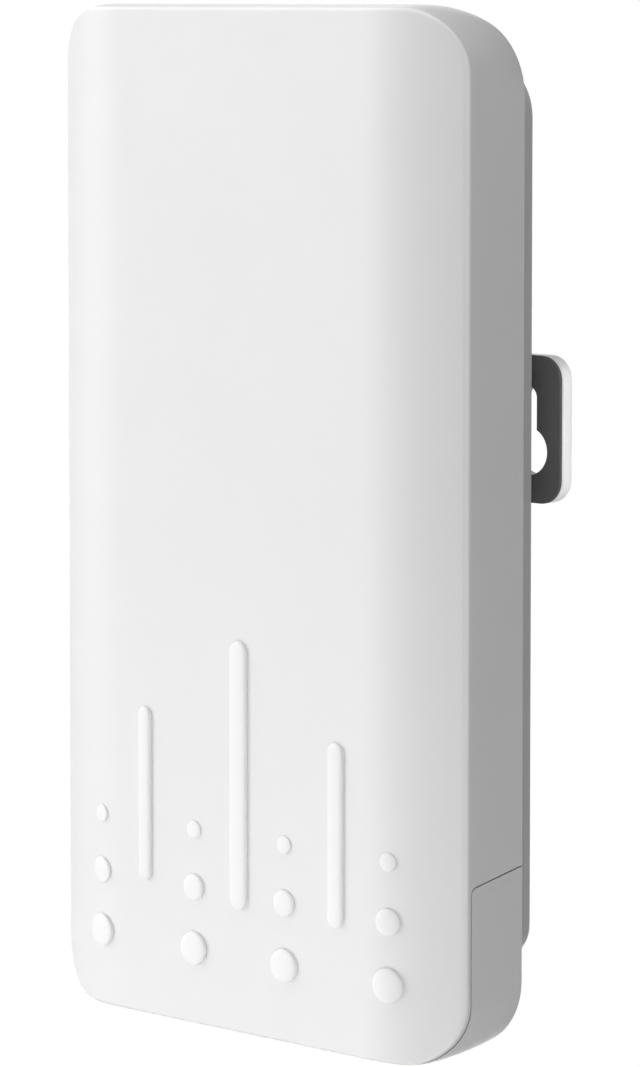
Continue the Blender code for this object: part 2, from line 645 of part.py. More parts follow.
def make_reset():
    """The press switch on the board and its button, which reaches into the port bay."""
    low = -62.4 * MM
    solid(
        "reset_switch",
        BLACK,
        block,
        (RESET_X - 3 * MM, RESET_X + 3 * MM),
        (ON_BOARD, BUTTON_Y + 3 * MM),
        (low, low + 4 * MM),
    )
    top = low - GAP - RESET_TRAVEL
    button = solid(
        "reset_button",
        BLACK,
        peg,
        1.7 * MM,
        (RESET_X, BUTTON_Y, -69.6 * MM),
        (RESET_X, BUTTON_Y, top),
        segments=20,
        location=(RESET_X, BUTTON_Y, BULKHEAD_BOTTOM),
    )
    collar = (RESET_X, BUTTON_Y, BULKHEAD_TOP + GAP), (RESET_X, BUTTON_Y, BULKHEAD_TOP + 1.3 * MM)
    join(button, solid("button_collar", None, peg, 2.7 * MM, *collar, segments=20))


def make_mode_switch():
    """The two-position slide switch: its body on the board, and the slider that reaches into the port bay."""
    low = -62.8 * MM
    body = solid(
        "mode_switch_body",
        BLACK,
        block,
        (MODE_X - 4.5 * MM, MODE_X + 4.5 * MM),
        (ON_BOARD, BUTTON_Y + 2.4 * MM),
        (low, low + 4.5 * MM),
    )
    slot = (MODE_X - 2.4 * MM, MODE_X + 2.4 * MM), (BUTTON_Y - 1.3 * MM, BUTTON_Y + 1.3 * MM)
    cut(body, solid("slider_slot", None, block, *slot, (low - MM, low + 2.5 * MM)))
    x = MODE_X - MODE_TRAVEL / 2
    solid(
        "mode_switch_slider",
        NYLON,
        block,
        (x - MM, x + MM),
        (BUTTON_Y - MM, BUTTON_Y + MM),
        (-69.8 * MM, low + 2 * MM),
        location=(x, BUTTON_Y, BULKHEAD_BOTTOM),
    )


def make_light_guide():
    """A clear bar behind the bulkhead with a prong through each light hole."""
    strip = (LIGHTS[0] - 1.7 * MM, LIGHTS[-1] + 1.7 * MM), (BUTTON_Y - 1.6 * MM, BUTTON_Y + 1.6 * MM)
    guide = solid("led_light_guide", CLEAR, block, *strip, (BULKHEAD_TOP + GAP, BULKHEAD_TOP + 1.6 * MM))
    for i, x in enumerate(LIGHTS):
        prong = (x, BUTTON_Y, BULKHEAD_BOTTOM - 0.5 * MM), (x, BUTTON_Y, BULKHEAD_TOP + MM)
        join(guide, solid(f"light_prong_{i}", None, peg, 1.2 * MM, *prong, segments=12))


def on_board(name, finish, x, z, height, front=ON_BOARD):
    """A flat block on the board's back, between limits in x and z."""
    return solid(name, finish, block, x, (front, front + height), z)


def make_board_parts():
    """Shields, thermal pad, finned heat spreader, transformer and capacitor."""
    can, pad, plate = 3.2 * MM, 1.0 * MM, 1.2 * MM
    pad_front = ON_BOARD + can + GAP
    front = pad_front + pad + GAP
    on_board("radio_shield", TIN, (-24 * MM, 2 * MM), (-30 * MM, -15 * MM), can)
    on_board("processor_shield", TIN, (8 * MM, 30 * MM), (-34 * MM, -14 * MM), can)
    on_board("thermal_pad", THERMAL, (10 * MM, 28 * MM), (-32 * MM, -16 * MM), pad, pad_front)
    spreader = on_board("heat_spreader", ALUMINIUM, (5 * MM, 33 * MM), (-38 * MM, -10 * MM), plate, front)
    for i in range(5):
        x = (7 + 6 * i) * MM
        fin = (x - 0.6 * MM, x + 0.6 * MM), (front + 0.8 * MM, front + 5 * MM), (-37 * MM, -11 * MM)
        join(spreader, solid(f"fin_{i}", None, block, *fin))
    on_board("lan_transformer", BLACK, (-22 * MM, -7 * MM), (-47 * MM, -37 * MM), 5.5 * MM)
    ends = (15 * MM, ON_BOARD, -46 * MM), (15 * MM, ON_BOARD + 10 * MM, -46 * MM)
    solid("filter_capacitor", BLACK, peg, 4 * MM, *ends)


def make_antenna():
    """The feed board, the reflector behind it, and four patches on posts in front of it."""
    feed = solid(
        "feed_board",
        FEED_WHITE,
        extrusion,
        rounded_rectangle(ANTENNA_HALF_WIDTH, FEED_BOTTOM, ANTENNA_TOP, 3 * MM, 3),
        FEED_FRONT,
        FEED_FRONT + FEED_THICKNESS,
    )
    outline = rounded_rectangle(ANTENNA_HALF_WIDTH, REFLECTOR_BOTTOM, ANTENNA_TOP, 3 * MM, 3)
    reflector = solid("antenna_reflector", ALUMINIUM, extrusion, outline, REFLECTOR_FRONT, REFLECTOR_BACK)
    drill(feed, "feed_hole", ANTENNA_SCREWS, 1.4 * MM, FEED_FRONT, FEED_FRONT + FEED_THICKNESS)
    drill(reflector, "reflector_hole", ANTENNA_SCREWS, 1.4 * MM, REFLECTOR_FRONT, REFLECTOR_BACK)
    for i, (x, z) in enumerate(PATCHES):
        half = PATCH_SIZE / 2
        outline = [
            (x - half, z - half),
            (x + half - PATCH_CUT, z - half),
            (x + half, z - half + PATCH_CUT),
            (x + half, z + half),
            (x - half + PATCH_CUT, z + half),
            (x - half, z + half - PATCH_CUT),
        ]
        solid(f"antenna_patch_{i + 1}", COPPER, extrusion, outline, PATCH_FRONT, PATCH_BACK)
        post = (x, PATCH_BACK + GAP, z), (x, FEED_FRONT - GAP, z)
        solid(f"patch_post_{i + 1}", NYLON, peg, 2.5 * MM, *post, segments=16)


def make_coax():
    """Two pigtails from the board's connectors up to the feed board's lower edge."""
    radius = 0.65 * MM
    plug = ON_BOARD + 1.2 * MM
    start, end = plug + GAP + radius, FEED_FRONT + FEED_THICKNESS + GAP + radius
    for name, side in (("left", -1), ("right", 1)):
        x, z = side * 9 * MM - 6 * MM, -9 * MM
        connector = (x, ON_BOARD, z), (x, plug, z)
        solid(f"board_connector_{name}", COPPER, peg, 1.5 * MM, *connector, segments=16)
        curve = bpy.data.curves.new(f"coax_{name}", "CURVE")
        curve.dimensions = "3D"
        curve.bevel_depth = radius
        curve.bevel_resolution = 2
        curve.use_fill_caps = True
        spline = curve.splines.new("POLY")
        steps = 16
        spline.points.add(steps)
        for i in range(steps + 1):
            t = i / steps
            ease = t * t * (3 - 2 * t)
            sway = side * 5 * MM * math.sin(math.pi * t) ** 2
            y = start + (end - start) * ease + 2 * MM * math.sin(math.pi * t) ** 2
            spline.points[i].co = (x + sway, y, z + 17 * MM * t, 1)
        curve.materials.append(COAX_BLACK)
        coax = bpy.data.objects.new(f"coax_{name}", curve)
        coax.parent = FRAME
        PARTS.objects.link(coax)


make_front_shell()
make_gasket()
make_rear_shell()
make_port_cover()
make_grommet()
make_plate()
make_screws()
make_board()
for jack_name, jack_x in JACKS.items():
    make_jack(jack_name, jack_x)
make_reset()
make_mode_switch()
make_light_guide()
make_board_parts()
make_antenna()
make_coax()
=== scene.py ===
"""Outdoor wireless bridge: fine pieces, finishes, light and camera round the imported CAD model.

Pieces are drawn in millimetres in the housing's own frame: X to the right, Y as the depth behind
the front face, Z up from the middle of the housing's height. piece() puts them in the world.
"""

import json
import math

import bmesh
import bpy
from mathutils import Matrix, Vector


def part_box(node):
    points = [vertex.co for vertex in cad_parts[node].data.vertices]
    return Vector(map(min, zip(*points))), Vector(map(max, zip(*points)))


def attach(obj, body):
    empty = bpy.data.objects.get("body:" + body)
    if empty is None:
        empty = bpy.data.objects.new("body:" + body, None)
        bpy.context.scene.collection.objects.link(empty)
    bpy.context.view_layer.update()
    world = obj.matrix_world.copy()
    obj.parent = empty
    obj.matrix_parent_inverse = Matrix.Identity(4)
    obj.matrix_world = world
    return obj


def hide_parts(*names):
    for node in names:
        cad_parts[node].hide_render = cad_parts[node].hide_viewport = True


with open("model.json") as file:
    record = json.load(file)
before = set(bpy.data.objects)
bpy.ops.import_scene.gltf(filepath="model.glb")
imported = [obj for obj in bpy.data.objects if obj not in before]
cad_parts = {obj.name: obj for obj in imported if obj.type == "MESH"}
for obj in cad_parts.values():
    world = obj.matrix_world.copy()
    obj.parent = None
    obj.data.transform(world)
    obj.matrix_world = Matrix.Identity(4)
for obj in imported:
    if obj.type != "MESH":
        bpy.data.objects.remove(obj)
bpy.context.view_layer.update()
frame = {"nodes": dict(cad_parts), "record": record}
MM = 0.001
GAP = 0.3  # clearance between pieces
OVERCUT = 1.0  # how far a cutting shape runs past what it cuts

# Housing outline
BULGE = 0.6  # how far the top and bottom walls swell past the front edge
BULGE_DEPTH = 7.1  # depth of their widest line, which follows BOW_SHARE of the bow
BOW_SHARE = 0.6
PLATEAU_BACK = 32.5
BODY_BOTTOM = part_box("port_cover")[0].z
BODY_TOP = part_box("front_shell")[1].z
ORIGIN = Vector((0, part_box("rear_shell")[1].y - PLATEAU_BACK * MM, (BODY_TOP + BODY_BOTTOM) / 2))
HALF_HEIGHT = (BODY_TOP - BODY_BOTTOM) / 2 / MM - BULGE
HALF_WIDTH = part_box("front_shell")[1].x / MM - BULGE
FLAT_HALF_WIDTH = 34.8
BOW_DROP = 6.45
CORNER_RADIUS = 13.2
BACK_CORNER_RADIUS = 16.5
BACK_BOTTOM_RADIUS = 15.3
SHELL_DEPTH = 25.0
WALL = 2.3
CAVITY_WIDEST = 8.2
EDGE_ROUND = 0.9
SIDE_TAPER = 0.5
TOP_TAPER = 1.5

# Raised pattern: bars as (x, bottom, top, width), and each column's dots as (z, diameter)
BARS = ((-27.0, -78.4, -41.1, 3.4), (0.0, -81.2, -24.4, 4.6), (27.0, -81.2, -42.8, 4.0))
BAR_RISE = 0.8
DOT_COLUMNS = (-40.4, -12.9, 12.7, 40.7)
DOT_ROWS = ((-65.8, 3.8), (-78.1, 5.6), (-91.2, 7.1))
DOT_RISE = 0.12  # of the diameter
DOME_POWER = 3.2  # 2 is an ellipse, and more is flatter on top
DOME_WALL = 0.35  # of the rise, straight up before the dome begins
DOME_SUNK = 0.45  # how deep the shapes reach into the face
DOME_LEVELS = (0.3, 0.55, 0.74, 0.85, 0.92, 0.96, 0.985, 0.996, 1.0)  # of the radius
BAR_ROW = 3.0  # the longest stretch of a bar without a row of points

# Port cover and bay
RIM = 1.55
COVER_LINE_FRONT = -70.4
COVER_LINE_BACK = -68.0
COVER_CORNER = 1.8
COVER_GAP = 0.35
COVER_LIP = 0.06  # thickness of the cover's front edge, which is bevelled inside
COVER_BEVEL = 2.2  # how far back the bevel runs
COVER_FLOOR_RADIUS = 9.0
NOTCH_RADIUS = 5.0
BULKHEAD_TOP = -65.5
BULKHEAD_BOTTOM = -67.5
BULKHEAD_BACK = 21.0
CABLE_Y = 14.0
CABLE_OPENING = (11.0, 5.5)  # half-length and radius
CABLE_PASSAGE = (8.0, 3.2)
GROMMET_PLUG = (10.7, 5.2)
GROMMET_LIP = (12.6, 7.0)
BUTTON_Y = 12.0
JACKS = ("lan_jack_poe", "lan_jack_data")
RESET_HOLE = 2.1
MODE_HOLE = (2.6, 1.5)  # half-width and half-depth
LIGHT_HOLE = 1.5
LIGHTS_X = (31.5, 36.0, 40.5)

# Rear shell and wall plate
PLATEAU_BASE_INSET = 1.0
PLATEAU_DRAFT = 2.5
PLATEAU_TOP = 97.0
PLATEAU_BOTTOM = -90.0
PLATEAU_WALL = 2.2
PLATEAU_SIDE_WALL = 3.3
PLATEAU_ROUND = 0.9
PLATEAU_TOP_RADIUS = 12.0
PLATEAU_BOTTOM_RADIUS = 8.0
PLATE_SCREWS = (-16.0, 16.0)
PLATE_CORNER = 5.0
PLATE_ROUND = 0.6
PAD_ROUND = 0.12
KEYHOLE_X = 47.3
KEYHOLE_ROUND = (-4.6, 5.0)  # height from the plate's middle, and radius
KEYHOLE_SLOT = (6.6, 2.25)
SADDLE = (28.0, 22.0)  # half-width and height
SADDLE_CORNER = 3.0
SADDLE_ROUND = 0.3

# Screw places (x, z), and the front shell's bosses as (radius, end, bore radius, bore depth)
SHELL_SCREWS = [(x, z) for x in (-45.0, 45.0) for z in (-60.0, -4.0, 86.0)]
BOARD_SCREWS = [(x, z) for x in (-34.5, 34.5) for z in (-60.0, -6.0)]
ANTENNA_SCREWS = [(x, z) for x in (-35.5, 35.5) for z in (16.0, 94.0)]
SHELL_BOSS = (3.8, SHELL_DEPTH - 2.6, 1.75, 13.0)
BOARD_BOSS = (3.0, 5.2, 1.5, 4.5)
ANTENNA_BOSS = (3.0, 10.5, 1.5, 4.5)
REAR_BOSS = 4.6
PLATE_BOSS = 3.6
SCREW_HOLE = 1.75
HEAD_RECESS = (3.2, 3.0, 0.35)  # radius, depth and broken edge
PLATE_RECESS = (3.3, 2.1)
SHANK_HOLE = (20.0, 30.0)  # front and back
PLATE_BOSS_FRONT = 24.0
PLATE_PILOT_FRONT = 25.5

# Screws: count, head radius, head height, shank radius, shank length
SCREWS = {
    "shell_screw": (len(SHELL_SCREWS), 2.8, 1.7, 1.4, 17.0),
    "bracket_screw": (len(PLATE_SCREWS), 2.8, 1.7, 1.4, 12.0),
    "pcb_screw": (len(BOARD_SCREWS), 2.2, 1.3, 1.1, 5.2),
    "antenna_screw": (len(ANTENNA_SCREWS), 2.2, 1.3, 1.1, 6.0),
}
THREAD_PITCH = 1.0
THREAD_ROOT = 0.78  # of the shank's radius

# Network sockets
CAN_SHEET = 0.5
CAN_WINDOW = (4.0, 3.0)  # depth and height
CAN_WINDOW_ROWS = (6.0, 12.0)
LINING_INSET = 0.55
SOCKET_MOUTH = (6.0, 2.0, 9.2)  # half-width, front and back
SOCKET_LATCH = (3.0, 9.0, 11.2)
SOCKET_LENGTH = 14.5
CONTACTS = 8
CONTACT_PITCH = 1.02
CONTACT_RADIUS = 0.18
CONTACT_ROUTE = ((0.1, 2.2), (0.5, 2.6), (2.4, 11.0), (2.2, 12.0), (0.4, 14.0))  # back, up
SPRING_ROUTE = ((0.0, 0.3), (0.9, 3.0), (0.2, 5.6))  # out from the wall, up
SPRING_STRIP = (2.6, 0.2)  # width and thickness

# Controls
BUTTON_TIP = ((0, 0), (0.9, 0.05), (1.4, 0.25), (1.7, 0.7))  # radius, height
BUTTON_RADIUS = 1.7
COLLAR_RADIUS = 2.7
COLLAR_TOP = 1.3  # above the bulkhead
GROOVE_HALF_WIDTH = 0.12
GROOVE_DEPTH = 0.25
PRONG_TIP = ((0, 0), (0.6, 0.04), (1.0, 0.18), (1.2, 0.5))
PRONG_RADIUS = 1.2

# Mesh density
CORNER_STEPS = 14
ACROSS_STEPS = 44
SIDE_STEPS = 84
FILLET_STEPS = 5
WALL_STEPS = 10
BULGE_SHARE = 0.3  # of the wall's rows, those in front of its widest line


def node_box(node):
    """A CAD node's lowest and highest corners in the housing's frame, in millimetres."""
    return [(corner - ORIGIN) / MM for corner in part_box(node)]


def within(low, high, margin):
    """A box's limits in x and y, drawn in by a margin."""
    return (low.x + margin, high.x - margin), (low.y + margin, high.y - margin)


PLATE_LOW, PLATE_HIGH = node_box("wall_bracket")
PAD_LOW, PAD_HIGH = node_box("bracket_pad")
PLATE_Z = (PLATE_LOW.z + PLATE_HIGH.z) / 2


# ---------------------------------------------------------------- mesh helpers


def piece(name, bm):
    """Makes an object from a mesh drawn in the housing's frame."""
    bmesh.ops.recalc_face_normals(bm, faces=bm.faces)
    mesh = bpy.data.meshes.new(name)
    bm.to_mesh(mesh)
    bm.free()
    return place(name, mesh)


def place(name, mesh):
    mesh.transform(Matrix.Translation(ORIGIN) @ Matrix.Scale(MM, 4))
    return in_scene(bpy.data.objects.new(name, mesh))


def in_scene(obj):
    bpy.context.scene.collection.objects.link(obj)
    return obj


def settle(obj):
    """Replaces an object's mesh by what its modifiers make of it."""
    graph = bpy.context.evaluated_depsgraph_get()
    obj.data = bpy.data.meshes.new_from_object(obj.evaluated_get(graph))
    obj.modifiers.clear()


def carve(obj, *steps):
    """Runs Booleans in order, then removes the shapes that they used."""
    for operation, other in steps:
        step = obj.modifiers.new(other.name, "BOOLEAN")
        step.operation = operation
        step.solver = "EXACT"
        step.object = other
    settle(obj)
    for _, other in steps:
        bpy.data.objects.remove(other)


def gather(name, objects):
    """One object that holds several shapes which don't touch."""
    bm = bmesh.new()
    for obj in objects:
        bm.from_mesh(obj.data)
        bpy.data.objects.remove(obj)
    mesh = bpy.data.meshes.new(name)
    bm.to_mesh(mesh)
    bm.free()
    return in_scene(bpy.data.objects.new(name, mesh))


def show(obj, slot, body="housing", nodes=(), sharp=32, finish=None):
    """Gives a piece smooth shading, the material of its slot or the finish given, and its body, and hides
    the CAD nodes it stands for.
    """
    obj.data.materials.clear()
    obj.data.materials.append(finish or FINISHES[slot])
    obj.data.shade_smooth()
    obj.data.set_sharp_from_angle(angle=math.radians(sharp))
    even = obj.modifiers.new("even_shading", "WEIGHTED_NORMAL")
    even.keep_sharp = True
    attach(obj, body)
    if nodes:
        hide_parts(*nodes)


def block(name, x, y, z, rounding=0.0):
    """A box between three pairs of limits, with rounded edges."""
    bm = bmesh.new()
    size = [high - low for low, high in (x, y, z)]
    middle = [(high + low) / 2 for low, high in (x, y, z)]
    form = Matrix.Translation(middle) @ Matrix.Diagonal((*size, 1))
    bmesh.ops.create_cube(bm, size=1, matrix=form)
    if rounding:
        bmesh.ops.bevel(bm, geom=bm.edges, offset=rounding, segments=3, profile=0.5, affect="EDGES")
    return piece(name, bm)


def peg(name, radius, start, end, segments=32):
    """A round peg between two points."""
    start, end = Vector(start), Vector(end)
    turn = (end - start).to_track_quat("Z", "Y").to_matrix().to_4x4()
    bm = bmesh.new()
    bmesh.ops.create_cone(
        bm,
        cap_ends=True,
        segments=segments,
        radius1=radius,
        radius2=radius,
        depth=(end - start).length,
        matrix=Matrix.Translation((start + end) / 2) @ turn,
    )
    return piece(name, bm)


def turned(name, profile, place_at, axis, segments=40):
    """A solid turned from a profile of (radius, height) points about an axis through place_at."""
    bm = bmesh.new()
    turn = Vector(axis).to_track_quat("Z", "Y").to_matrix().to_4x4()
    rings = []
    for radius, height in profile:
        if radius == 0:
            rings.append([bm.verts.new((0, 0, height))])
            continue
        angles = [2 * math.pi * i / segments for i in range(segments)]
        points = [(radius * math.cos(a), radius * math.sin(a), height) for a in angles]
        rings.append([bm.verts.new(point) for point in points])
    for near, far in zip(rings, rings[1:]):
        for i in range(segments):
            j = (i + 1) % segments
            corners = [near[i % len(near)], near[j % len(near)], far[j % len(far)], far[i % len(far)]]
            bm.faces.new(dict.fromkeys(corners))
    bm.transform(Matrix.Translation(place_at) @ turn)
    return piece(name, bm)


def arc(centre, radius, start, end, steps):
    angles = [math.radians(start + (end - start) * i / steps) for i in range(steps + 1)]
    return [(centre[0] + radius * math.cos(a), centre[1] + radius * math.sin(a)) for a in angles]


def rounded_rectangle(half_width, bottom, top, radius):
    right, low, high = half_width - radius, bottom + radius, top - radius
    outline = []
    for i, centre in enumerate(((right, low), (right, high), (-right, high), (-right, low))):
        outline += arc(centre, radius, 90 * (i - 1), 90 * i, 12)
    return outline


def rounded_slot(half_length, radius):
    straight = half_length - radius
    return arc((straight, 0), radius, -90, 90, 16) + arc((-straight, 0), radius, 90, 270, 16)


def skin(bm, rings):
    """Joins each ring of points to the next."""
    for near, far in zip(rings, rings[1:]):
        for i in range(len(near)):
            j = (i + 1) % len(near)
            bm.faces.new((near[i], near[j], far[j], far[i]))


def curve_mesh(curve, routes, closed, merge):
    """The mesh of a curve along routes, with points nearer than merge joined."""
    for route in routes:
        spline = curve.splines.new("POLY")
        spline.points.add(len(route) - 1)
        spline.use_cyclic_u = closed
        for target, point in zip(spline.points, route):
            target.co = (*point, 1)
    drawn = in_scene(bpy.data.objects.new(curve.name, curve))
    graph = bpy.context.evaluated_depsgraph_get()
    bm = bmesh.new()
    bm.from_mesh(drawn.evaluated_get(graph).to_mesh())
    bpy.data.objects.remove(drawn)
    bmesh.ops.remove_doubles(bm, verts=bm.verts, dist=merge)
    return bm


def sheet(name, outlines, low, high, rounding, turn):
    """A flat plate from an outline and its holes, with rounded edges. turn sets its plane."""
    curve = bpy.data.curves.new(name, "CURVE")
    curve.dimensions = "2D"
    curve.fill_mode = "BOTH"
    curve.extrude = (high - low) / 2 - rounding
    curve.bevel_depth = rounding
    curve.bevel_resolution = 3
    curve.offset = -rounding
    routes = [[(across, up, 0) for across, up in outline] for outline in outlines]
    bm = curve_mesh(curve, routes, True, 0.002)
    bm.transform(turn)
    return piece(name, bm)


def tube(name, points, radius):
    """A round tube along points."""
    curve = bpy.data.curves.new(name, "CURVE")
    curve.dimensions = "3D"
    curve.bevel_depth = radius
    curve.bevel_resolution = 2
    curve.use_fill_caps = True
    return piece(name, curve_mesh(curve, [points], False, 0.001))


def ribbon(name, route, width, thickness):
    """A flat strip of metal bent along a route in the XZ plane, its width along Y."""
    bm = bmesh.new()
    half = width / 2
    corners = ((0, -half), (thickness, -half), (thickness, half), (0, half))
    rows = [[bm.verts.new((x + a, y + b, z)) for a, b in corners] for x, y, z in route]
    skin(bm, rows)
    bm.faces.new(rows[0])
    bm.faces.new(rows[-1])
    return piece(name, bm)


def upright(depth):
    """Stands a flat plate in the wall's plane at a depth: its outline's second axis points up."""
    return Matrix.Translation((0, depth, 0)) @ Matrix.Rotation(math.radians(90), 4, "X")


def level(height):
    """Lays a flat plate at a height about the cable inlet."""
    return Matrix.Translation((0, CABLE_Y, height))


# ---------------------------------------------------------------- housing form


def bow(x):
    """How far the front face lies behind its flat middle at x."""
    past = max(0.0, abs(x) - FLAT_HALF_WIDTH) / (HALF_WIDTH - FLAT_HALF_WIDTH)
    return BOW_DROP * past**2


def corner_drop(x, half_width, radius):
    over = max(0.0, abs(x) - (half_width - radius))
    return radius - math.sqrt(max(0.0, radius**2 - over**2))


def ring(half_width, top, bottom, top_radius, depth, bottom_radius=None):
    """A closed rounded rectangle: along the top, down the right side, back along the bottom, up the left.

    depth is a number, or a function of x.
    """
    bottom_radius = bottom_radius or top_radius
    radius = max(top_radius, bottom_radius)
    turn = [math.radians(90 * i / CORNER_STEPS) for i in range(CORNER_STEPS)]
    left = [-(half_width - radius) - radius * math.cos(a) for a in turn]
    flat = 2 * (half_width - radius)
    middle = [flat * (i / ACROSS_STEPS - 0.5) for i in range(ACROSS_STEPS + 1)]
    across = left + middle + [-x for x in reversed(left)]
    upper = [(x, top - corner_drop(x, half_width, top_radius)) for x in across]
    lower = [(x, bottom + corner_drop(x, half_width, bottom_radius)) for x in across]
    shares = [i / SIDE_STEPS for i in range(1, SIDE_STEPS)]
    high, low = upper[-1][1], lower[-1][1]
    right_side = [(across[-1], high + (low - high) * t) for t in shares]
    left_side = [(across[0], low + (high - low) * t) for t in shares]
    deep = depth if callable(depth) else lambda x: depth
    return [(x, deep(x), z) for x, z in upper + right_side + lower[::-1] + left_side]


def fill(bm, loop):
    """Fills a ring with a grid of columns."""
    count = 2 * CORNER_STEPS + ACROSS_STEPS + 1
    inner = SIDE_STEPS - 1
    upper, right = loop[:count], loop[count : count + inner]
    lower, left = loop[count + inner : 2 * count + inner][::-1], loop[2 * count + inner :][::-1]
    shares = [j / SIDE_STEPS for j in range(1, SIDE_STEPS)]
    columns = []
    for i, (high, low) in enumerate(zip(upper, lower)):
        if i == 0:
            between = left
        elif i == count - 1:
            between = right
        else:
            between = [bm.verts.new(high.co.lerp(low.co, share)) for share in shares]
        columns.append([high, *between, low])
    for here, there in zip(columns, columns[1:]):
        for a, b, c, d in zip(here, there, there[1:], here[1:]):
            bm.faces.new((a, b, c, d))


def loft(name, rings):
    """A closed solid through rings from front to back."""
    bm = bmesh.new()
    loops = [[bm.verts.new(point) for point in points] for points in rings]
    skin(bm, loops)
    fill(bm, loops[0])
    fill(bm, loops[-1])
    return piece(name, bm)


def wall_swell(share):
    """How far the top wall stands out at a share of its depth, and how far its taper has come."""
    if share < BULGE_SHARE:
        return BULGE * (1 - (1 - share / BULGE_SHARE) ** 2), 0.0
    back = (share - BULGE_SHARE) / (1 - BULGE_SHARE)
    return BULGE * (1 - back**2), back**2


def wall_depth(x, share):
    """The depth of the wall at x for that share: 0 at its front edge, 1 at its back."""
    front, widest = bow(x) + EDGE_ROUND, BULGE_DEPTH + BOW_SHARE * bow(x)
    if share < BULGE_SHARE:
        return front + (widest - front) * share / BULGE_SHARE
    return widest + (SHELL_DEPTH - widest) * (share - BULGE_SHARE) / (1 - BULGE_SHARE)


def side_x(y):
    """Half the housing's width at a depth on its flat, slightly tapered side walls."""
    front = BOW_DROP + EDGE_ROUND
    return HALF_WIDTH - SIDE_TAPER * (y - front) / (SHELL_DEPTH - front)


def body_rings():
    """The housing's outer form, from the bowed front face to the open back."""
    rings = []
    for i in range(FILLET_STEPS):
        turn = math.radians(90 * i / FILLET_STEPS)
        shrink, deep = EDGE_ROUND * (1 - math.sin(turn)), EDGE_ROUND * (1 - math.cos(turn))
        half, high, radius = HALF_WIDTH - shrink, HALF_HEIGHT - shrink, CORNER_RADIUS - shrink
        rings.append(ring(half, high, -high, radius, lambda x, deep=deep: bow(x) + deep))
    for i in range(WALL_STEPS + 1):
        share = i / WALL_STEPS
        swell, taper = wall_swell(share)
        rings.append(
            ring(
                side_x(wall_depth(HALF_WIDTH, share)),
                HALF_HEIGHT + swell - TOP_TAPER * taper,
                -HALF_HEIGHT - swell,
                CORNER_RADIUS + swell + (BACK_CORNER_RADIUS - CORNER_RADIUS) * taper,
                lambda x, share=share: wall_depth(x, share),
                CORNER_RADIUS + swell + (BACK_BOTTOM_RADIUS - CORNER_RADIUS) * taper,
            )
        )
    return rings


def cavity_rings():
    """The space inside the housing's walls."""
    half, high, radius = HALF_WIDTH - WALL, HALF_HEIGHT - WALL, CORNER_RADIUS - WALL
    wide, tall = half + BULGE, high + BULGE
    back = SHELL_DEPTH + OVERCUT
    return [
        ring(half, high, -high, radius, lambda x: bow(x) + WALL),
        ring(wide, tall, -tall, radius + BULGE, lambda x: CAVITY_WIDEST + BOW_SHARE * bow(x)),
        ring(half - SIDE_TAPER, high - TOP_TAPER, -high, BACK_CORNER_RADIUS - WALL, back),
    ]


def cover_line(y):
    """The height of the cover's joint line on the side wall at a depth."""
    slope = (COVER_LINE_BACK - COVER_LINE_FRONT) / (SHELL_DEPTH - BOW_DROP - RIM)
    return COVER_LINE_FRONT + slope * (y - BOW_DROP - RIM)


def cover_space(name, clearance):
    """The port cover's space: behind the rim, below the joint line, its upper front corner rounded."""
    bm = bmesh.new()
    beyond = 5.0
    wide, deep, low = HALF_WIDTH + beyond, SHELL_DEPTH + beyond, -HALF_HEIGHT - beyond
    radius = COVER_CORNER - clearance / 2
    columns = []
    count = 2 * ACROSS_STEPS
    for i in range(count + 1):
        x = wide * (2 * i / count - 1)
        front = bow(min(abs(x), HALF_WIDTH + BULGE)) + RIM + clearance
        top = cover_line(front + radius) - clearance
        corner = arc((front + radius, top - radius), radius, 180, 90, 6)
        outline = [(front, low), *corner, (deep, cover_line(deep) - clearance), (deep, low)]
        columns.append([bm.verts.new((x, y, z)) for y, z in outline])
    skin(bm, columns)
    bm.faces.new(columns[0])
    bm.faces.new(columns[-1])
    return piece(name, bm)


def dome(name, x, z, diameter, rise, length=0.0):
    """A low dome with a steep edge on the bowed face. With a length, a bar with round ends."""
    bm = bmesh.new()
    radius, half = diameter / 2, max(0.0, length - diameter) / 2
    end_steps = 16
    around = arc((0, half), 1, 0, 180, end_steps) + arc((0, -half), 1, 180, 360, end_steps)
    upper_last, lower_last = end_steps, 2 * end_steps + 1
    rows = max(0, math.ceil(2 * half / BAR_ROW) - 1)
    stations = []  # (height on the spine, direction) round the outline
    for i, (across, up) in enumerate(around):
        spine = half if i <= upper_last else -half
        stations.append((spine, across, up - spine))
        if rows and i in (upper_last, lower_last):
            way = -1 if i == upper_last else 1
            for j in range(1, rows + 1):
                stations.append((spine + way * 2 * half * j / (rows + 1), across, 0.0))
    loops = []
    for share in DOME_LEVELS:
        height = rise * (DOME_WALL + (1 - DOME_WALL) * (1 - share**DOME_POWER) ** (1 / DOME_POWER))
        loop = []
        for spine, across, up in stations:
            px, pz = x + radius * share * across, z + spine + radius * share * up
            loop.append(bm.verts.new((px, bow(px) - height, pz)))
        loops.append(loop)
    sunk = [bm.verts.new(vert.co + Vector((0, DOME_SUNK, 0))) for vert in loops[-1]]
    loops.append(sunk)
    skin(bm, loops)
    crown = {}
    for spine, _, _ in stations:
        key = round(spine, 4)
        if key not in crown:
            crown[key] = bm.verts.new((x, bow(x) - rise, z + spine))
    inner = loops[0]
    for i in range(len(inner)):
        j = (i + 1) % len(inner)
        a, b = crown[round(stations[i][0], 4)], crown[round(stations[j][0], 4)]
        corners = [inner[i], inner[j], b, a]
        bm.faces.new(dict.fromkeys(corners))
    bm.faces.new(sunk)
    bmesh.ops.remove_doubles(bm, verts=bm.verts, dist=0.0001)
    return piece(name, bm)


